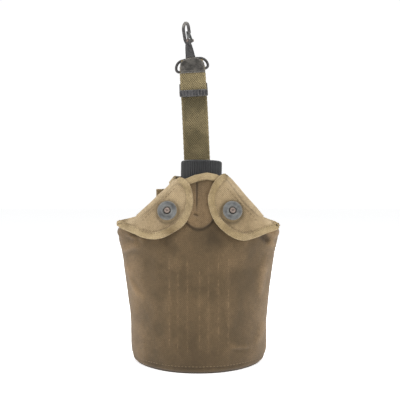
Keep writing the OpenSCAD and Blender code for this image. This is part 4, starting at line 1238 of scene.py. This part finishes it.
def build_hook_strap():
    """The short web: a band that runs round the buckle's rear bar and round the loop's bar, sewn between."""
    r, y, lo, hi = 2.15, rear_bar[1], REAR_BAR_Z, 277.5
    lift = 1.6
    pinch = 0.72
    path = [(y + r * math.cos(t), lo + r * math.sin(t)) for t in np.radians(np.linspace(-240, 60, 46))]
    path += [(y + pinch, lo + (hi - lo) * s) for s in np.linspace(0.14, 0.84, 22)]
    for t in np.radians(np.linspace(-40, 220, 46)):
        over = lift * np.sign(math.sin(t)) * min(1, abs(math.sin(t)) * 2)
        path.append((y + (r + 0.05) * math.cos(t), hi + over + r * math.sin(t)))
    path += [(y - pinch, lo + (hi - lo) * s) for s in np.linspace(0.84, 0.14, 22)]
    path = spline(path, 220, True)
    for _ in range(3):
        path = 0.5 * path + 0.25 * (np.roll(path, 1, 0) + np.roll(path, -1, 0))
    points = in_frame(strap_frame, np.stack([0 * path[:, 0], path[:, 0], path[:, 1]], -1))
    ahead = np.roll(points, -1, 0) - np.roll(points, 1, 0)
    up = np.cross(ahead, strap_across)
    up /= np.linalg.norm(up, axis=1, keepdims=True)
    obj = sweep("hook_web", points, web_section(25.2, 1.2, 22), up, closed=True)
    spots = points_of(obj)
    mark(obj, "wear_and_painted_highlight", np.clip(0.45 + 0.4 * noise_field(spots, 6, 2, 3.0), 0, 1))
    dress(obj, "hook_strap", WEBBING, "webbing", "hook_strap")
    for k, sign in enumerate((-1, 1)):
        for z in (266.6, 271.4):
            row = in_frame(strap_frame, [(x, y + sign * 1.42, z) for x in np.linspace(-11.5, 11.5, 30)])
            thread = stitches("hook_web_stitches_%d_%d" % (k, z), row,
                              np.tile((0.0, float(sign), 0.0), (30, 1)), 2.6, 1.9)
            dress(thread, "hook_strap", THREAD_DARK, "webbing")


build_hook_strap()

# ---------------------------------------------------------------- loop and hook
loop_frame = frame_at(loop_bar, hook_up, loop_across)
hook_frame = frame_at(hook_base, hook_up, np.cross(-gate_axis, hook_up))
LOOP_H = 10.8


def build_loop():
    side, low_r, wire = 15.9, 2.9, 1.35
    high_r = LOOP_H - low_r
    path = [(x, 0.0) for x in np.linspace(-side + low_r, side - low_r, 40)]
    path += [(side - low_r + low_r * math.sin(t), low_r - low_r * math.cos(t))
             for t in np.linspace(0.1, 1.57, 14)]
    path += arc(side - high_r, low_r, high_r, 0.05, 1.57, 26)
    path += [(x, LOOP_H) for x in np.linspace(side - high_r - 0.5, -side + high_r + 0.5, 20)]
    path += [(-side + high_r - high_r * math.sin(t), low_r + high_r * math.cos(t))
             for t in np.linspace(0, 1.52, 26)]
    path += [(-side + low_r - low_r * math.cos(t), low_r - low_r * math.sin(t))
             for t in np.linspace(0, 1.47, 14)]
    path = np.array(path)
    points = in_frame(loop_frame, np.stack([path[:, 0], 0 * path[:, 0], path[:, 1]], -1))
    parts = [sweep("wire", points, circle(wire, 18), -loop_frame[:3, 1], closed=True)]
    flat = np.array(rounded_rectangle(16, 6.2, 1.8, 5))
    turn = np.array([[1, 0, 0, 0], [0, 0, -1, 0], [0, 1, 0, 0], [0, 0, 0, 1]], float)
    lay = loop_frame @ shift(0, 0, LOOP_H) @ turn
    parts.append(slab("flat", flat, 2.0, 0.5, lay))
    parts.append(revolve("boss", [(2.05, -1.1), (3.2, -1.1), (3.2, 1.0), (2.9, 1.15), (2.05, 1.15)], 40,
                         loop_frame @ shift(0, 0, LOOP_H)))
    obj = merge_cast(join("swivel_ring", parts), 0.26, 3)
    edge_wear(obj, 1.6)
    dress(obj, "loop", BLACK, "black_metal", "swivel_loop")


def build_hook():
    inner, outer, up, nose = 4.0, 7.0, 30.7, 25.4
    outline = [(-2.6, 12), (3.2, 12), (4.2, 14.6), (6, 16.6), (6.2, 17.6), (6, 18.6), (4.8, 19.2),
               (3.2, 19.4), (0.5, 19.0), (-1.6, 19.6), (-3.2, 20.9), (-4, 22.6), (-4, 27)]
    outline += arc(0, up, inner, math.pi, 0, 30)
    outline += [(inner, nose + 0.3)]
    outline += [(5.5 - 1.5 * math.cos(t), nose - 1.5 * math.sin(t))
                for t in np.linspace(0.1, math.pi - 0.1, 10)]
    outline += [(outer, nose + 0.3), (outer, 28)]
    outline += arc(0, up, outer, 0, math.pi, 44)
    outline += [(-outer, 26), (-outer, 21.8), (-6.3, 19.8), (-4.6, 17), (-3.2, 14.6)]
    parts = [slab("blade", outline, 2.7, 0.8, hook_frame)]
    shank = [(0, 0.9), (4.3, 0.95), (4.85, 1.5), (4.9, 2.6), (4.6, 4.5), (4.25, 8), (3.8, 11.5),
             (3.3, 14.6), (2.4, 16.6), (1.2, 17.6), (0, 18)]
    parts.append(revolve("shank", shank, 40, hook_frame))
    parts.append(revolve("stem", [(0, -2.9), (1.7, -2.9), (1.98, -2.6), (1.98, 1.4), (0, 1.4)], 28,
                         hook_frame))
    obj = merge_cast(join("snap_hook", parts), 0.26, 3)
    edge_wear(obj, 1.8)
    spots = points_of(obj)
    high = (spots - hook_frame[:3, 3]) @ hook_frame[:3, 2]
    wear_and_painted_highlight = np.array([d.value for d in obj.data.attributes["wear_and_painted_highlight"].data]) + 0.9 * smoothstep(32, 37, high)
    mark(obj, "wear_and_painted_highlight", np.clip(wear_and_painted_highlight, 0, 1))
    dress(obj, "hook", BLACK, "black_metal", "hook_body")


build_loop()
build_hook()

# ---------------------------------------------------------------- cap, chain, bottle and felt
bottle_frame = frame_at(cap_foot, bottle_up)
bottle_frame[:3, 3] = cap_foot - bottle_frame[:3, :3] @ np.array([0, 0, 170.0])


def build_cap():
    ribs, per = 60, 10
    n = ribs * per
    r0, z0, z1, rib = 18.2, 159.5, 184.0, 0.55
    # Each row of the cap's profile: radius, height and how far the ribs stand out there.
    rows = [(0, z1 - 3, 0), (15.2, z1 - 3, 0), (15.9, z1 - 3.2, 0), (16, z1 - 4, 0), (16, z0 + 0.6, 0),
            (16.3, z0, 0), (17.7, z0, 0), (18.05, z0 + 0.3, 0.2), (r0, z0 + 0.9, 1)]
    rows += [(r0, z, 1) for z in np.linspace(z0 + 1.4, z1 - 2.2, 8)]
    for t in np.linspace(0.15, 1.0, 9):
        a = t * math.pi / 2
        rows.append((r0 - 1.7 + 1.7 * math.cos(a), z1 - 1.7 + 1.7 * math.sin(a), max(0.0, 1 - 1.5 * t)))
    rows += [(15.6, z1, 0), (13.4, z1, 0), (12.85, z1 - 0.15, 0), (12.55, z1 - 0.5, 0), (12.5, z1 - 1.6, 0),
             (12.2, z1 - 2, 0), (3, z1 - 2, 0), (0, z1 - 2, 0)]
    rows = np.array(rows)
    angle = np.linspace(0, 2 * math.pi, n, endpoint=False)
    part = (angle * ribs / (2 * math.pi)) % 1
    wave = smoothstep(0.06, 0.34, part) * (1 - smoothstep(0.66, 0.94, part))
    r = rows[:, :1] + rib * wave[None, :] * rows[:, 2:]
    p = np.stack([r * np.cos(angle), r * np.sin(angle), np.repeat(rows[:, 1:2], n, 1)], -1)
    obj = outward(new_object("screw_cap", in_frame(bottle_frame, p.reshape(-1, 3)),
                             grid_faces(len(rows), n, close_cols=True)), weld=True)
    spots = (points_of(obj) - bottle_frame[:3, 3]) @ bottle_frame[:3, :3]
    reach = np.hypot(spots[:, 0], spots[:, 1])
    # A painted highlight along the cap's top rim, and paler worn rib tips.
    rim = bell(spots[:, 2] - (z1 - 0.5), 0.7) * smoothstep(15.5, 16.6, reach)
    tips = smoothstep(18.5, 18.72, reach) * 0.22
    mark(obj, "wear_and_painted_highlight", np.clip(0.6 * rim + tips, 0, 1))
    dress(obj, "cap", CAP, "cap_plastic", "cap_shell")


def build_chain():
    points = [(3.8, 183.2), (9, 184.1), (12, 185.2), (17, 185.4), (21, 183.8), (22.6, 178), (22.6, 168),
              (21.4, 161), (19.6, 157.8)]
    path = spline([(0, y, z) for y, z in points], 400)
    length = np.linalg.norm(np.diff(path, axis=0), axis=1).sum()
    count = int(length / 2.25)
    ring = [(0.85 * c, 0, 0.75 * s + 0.85 * np.sign(s) * abs(s) ** 0.5) for c, s in circle(1, 22)]
    links = []
    for k in range(count + 1):
        i = int(round(k * 399 / count))
        ahead = path[min(i + 4, 399)] - path[max(i - 4, 0)]
        m = frame_at(path[i], ahead, (1, 0, 0))
        if k % 2:
            turn = m.copy()
            turn[:3, 0], turn[:3, 1] = m[:3, 1], -m[:3, 0]
            m = turn
        place = bottle_frame @ m
        links.append(sweep("link", in_frame(place, ring), circle(0.27, 7), place[:3, 1], closed=True))
    obj = join("cap_chain_links", links)
    obj.data.materials.clear()
    obj.data.materials.append(SNAP)
    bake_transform(obj)
    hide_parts("cap_chain")


build_cap()
build_chain()

BOTTLE = {
    "width": [(5, 50), (8, 54.5), (14, 56.4), (38, 56.6), (56, 58.6), (78, 61.2), (100, 62.4),
              (112, 60.5), (122, 55.5), (132, 46.5), (142, 34), (149, 21), (153, 15.2)],
    "front": [(5, 26), (8, 29.4), (14, 31), (108, 31), (120, 28.5), (132, 25), (142, 20.5), (149, 17),
              (153, 15.2)],
    "back": [(5, 20), (8, 22.8), (14, 24), (115, 24), (132, 22.5), (142, 19.5), (149, 16.5), (153, 15.2)],
    "bend": [(5, 17), (105, 17), (125, 9), (140, 3), (153, 0)],
    "square": [(5, 2.4), (110, 2.4), (125, 2.6), (145, 2.1), (153, 2)],
}


def bottle_loft(name, levels, d, around=160):
    """A skin of the bottle's form over a range of heights, grown outward by d."""
    z = np.asarray(levels, float)[:, None]
    angle = np.linspace(0, 2 * math.pi, around, endpoint=False)[None, :]

    def smooth(key):
        h, v = zip(*BOTTLE[key])
        return sum(np.interp(z + k * 2.5, h, v) for k in (-1, -0.5, 0, 0.5, 1)) / 5
    front, back, n = smooth("front"), smooth("back"), smooth("square")
    w, half = smooth("width") + d, (front + back) / 2 + d
    r = squared(np.cos(angle), np.sin(angle), w, half, n)
    x, y = r * np.cos(angle), r * np.sin(angle)
    y = (back - front) / 2 + smooth("bend") * (x / w) ** 2 + y
    p = np.stack([x, y, z + 0 * x], -1)
    obj = new_object(name, in_frame(bottle_frame, p.reshape(-1, 3)),
                     grid_faces(len(p), around, close_cols=True),
                     np.stack([angle * 40 + 0 * z, z + 0 * angle], -1).reshape(-1, 2))
    return obj, p


shell, _ = bottle_loft("bottle_shell", np.linspace(6.2, 152.8, 110), 0)
solidify(shell, 1.0)
dress(shell, "cover", STEEL, "bottle_metal", "bottle_lower_shell", "bottle_upper_shell")
foot, foot_p = bottle_loft("bottle_foot", np.linspace(6.2, 6.9, 2), -0.4)
bpy.data.objects.remove(foot)
foot_grid, share, foot_faces = drumhead(foot_p[0], 16)
foot_grid[..., 2] = 6.3 + 1.2 * smoothstep(0.95, 0.6, share)
foot = new_object("bottle_foot", in_frame(bottle_frame, foot_grid.reshape(-1, 3)), foot_faces)
dress(foot, "cover", STEEL, "bottle_metal")
bead, bead_p = bottle_loft("bottle_bead", [76.7, 77.1, 77.6, 78, 78.4, 78.9, 79.3], 0.1)
spots = bead_p.copy()
bulge = np.array([0, 0.3, 0.45, 0.5, 0.45, 0.3, 0])[:, None]
outward_way = grid_normals(np.concatenate([spots[:, -2:], spots, spots[:, :2]], 1))[:, 2:-2]
spots = spots + outward_way * bulge[..., None]
move_points(bead, in_frame(bottle_frame, spots.reshape(-1, 3)))
solidify(bead, 0.3)
dress(bead, "cover", STEEL, "bottle_metal", "bottle_weld")
felt, felt_p = bottle_loft("felt_lining", np.linspace(6.5, 147.6, 90), 3.3)
solidify(felt, 2.3)
dress(felt, "cover", FELT, "felt", "felt_front", "felt_back")
felt_grid, _, felt_faces = drumhead(felt_p[0], 12)
felt_grid[..., 2] = 4.6
felt_foot = new_object("felt_foot", in_frame(bottle_frame, felt_grid.reshape(-1, 3)), felt_faces)
solidify(felt_foot, 1.6, 0.0)
dress(felt_foot, "cover", FELT, "felt", "felt_bottom")

# ---------------------------------------------------------------- materials of the CAD pieces that stay
KEPT = {
    "bottle_neck": NECK_STEEL, "chain_lug": NECK_STEEL, "cap_gasket": RUBBER, "cap_pin": SMALL_GREY,
    "snap_backplate_left": SMALL_GREY, "snap_backplate_right": SMALL_GREY, "stud_washer_left": SMALL_GREY,
    "stud_washer_right": SMALL_GREY, "swivel_head": SMALL_DARK, "hook_gate": SMALL_GREY,
    "gate_pin": SMALL_PALE, "gate_spring": SMALL_PALE,
}
for name, material in KEPT.items():
    obj = frame["nodes"][name]
    obj.data.materials.clear()
    obj.data.materials.append(material)

# ---------------------------------------------------------------- floor, light and camera
floor_look = Look("floor")
tone = floor_look.noise(floor_look.node("ShaderNodeTexCoord").outputs["Object"], 1.5, 3.0)
floor_look.finish(floor_look.mix(tone, (0.90, 0.90, 0.90, 1), (0.94, 0.94, 0.94, 1)), 0.9,
                  Emission_Color=(1, 1, 1, 1), Emission_Strength=0.66)
FLOOR_RADIUS = 9000
floor = new_object("floor", [(x, y, -0.05) for x, y in circle(FLOOR_RADIUS, 64)], [list(range(64))])
floor.data.materials.append(floor_look.material)

FILL_LIGHT = 0.36
SHOWN_WHITE = 1.02
world = bpy.data.worlds.new("studio")
bpy.context.scene.world = world
world.use_nodes = True
tree = world.node_tree
shown = tree.nodes["Background"]
shown.inputs[0].default_value = (1, 1, 1, 1)
shown.inputs[1].default_value = SHOWN_WHITE
fill = tree.nodes.new("ShaderNodeBackground")
fill.inputs[0].default_value = (0.97, 0.985, 1, 1)
fill.inputs[1].default_value = FILL_LIGHT
ray = tree.nodes.new("ShaderNodeLightPath")
choose = tree.nodes.new("ShaderNodeMixShader")
tree.links.new(ray.outputs["Is Camera Ray"], choose.inputs[0])
tree.links.new(fill.outputs[0], choose.inputs[1])
tree.links.new(shown.outputs[0], choose.inputs[2])
tree.links.new(choose.outputs[0], tree.nodes["World Output"].inputs[0])


def soft_box(name, place, aim, width, height, power, colour=(1, 1, 1)):
    light = bpy.data.lights.new(name, "AREA")
    light.shape, light.size, light.size_y = "RECTANGLE", width, height
    light.energy, light.color = power, colour
    obj = bpy.data.objects.new(name, light)
    bpy.context.collection.objects.link(obj)
    obj.location = place
    obj.rotation_euler = (Vector(aim) - Vector(place)).to_track_quat("-Z", "Y").to_euler()
    return obj


SIDE_AIM, HIGH_AIM = (0, 0, 0.13), (0, 0, 0.15)
soft_box("left_box", (-0.95, -0.42, 0.32), SIDE_AIM, 0.8, 0.9, 6.1)
soft_box("right_box", (0.95, -0.38, 0.32), SIDE_AIM, 0.8, 0.9, 5.8)
soft_box("top_box", (0.0, -0.35, 1.15), HIGH_AIM, 1.1, 0.7, 9)
soft_box("back_box", (0.0, 1.1, 0.75), HIGH_AIM, 1.2, 0.8, 8)

camera_data = bpy.data.cameras.new("camera")
LENS_MM, SENSOR_MM = 47.4, 36
CAMERA_PLACE = (0.0014, -0.483, 0.1482)
camera_data.lens, camera_data.sensor_width = LENS_MM, SENSOR_MM
camera = bpy.data.objects.new("camera", camera_data)
bpy.context.collection.objects.link(camera)
camera.location = CAMERA_PLACE
camera.rotation_euler = (math.pi / 2, 0, 0)
bpy.context.scene.camera = camera
bpy.context.scene.view_settings.view_transform = "Standard"
bpy.context.scene.view_settings.look = "None"
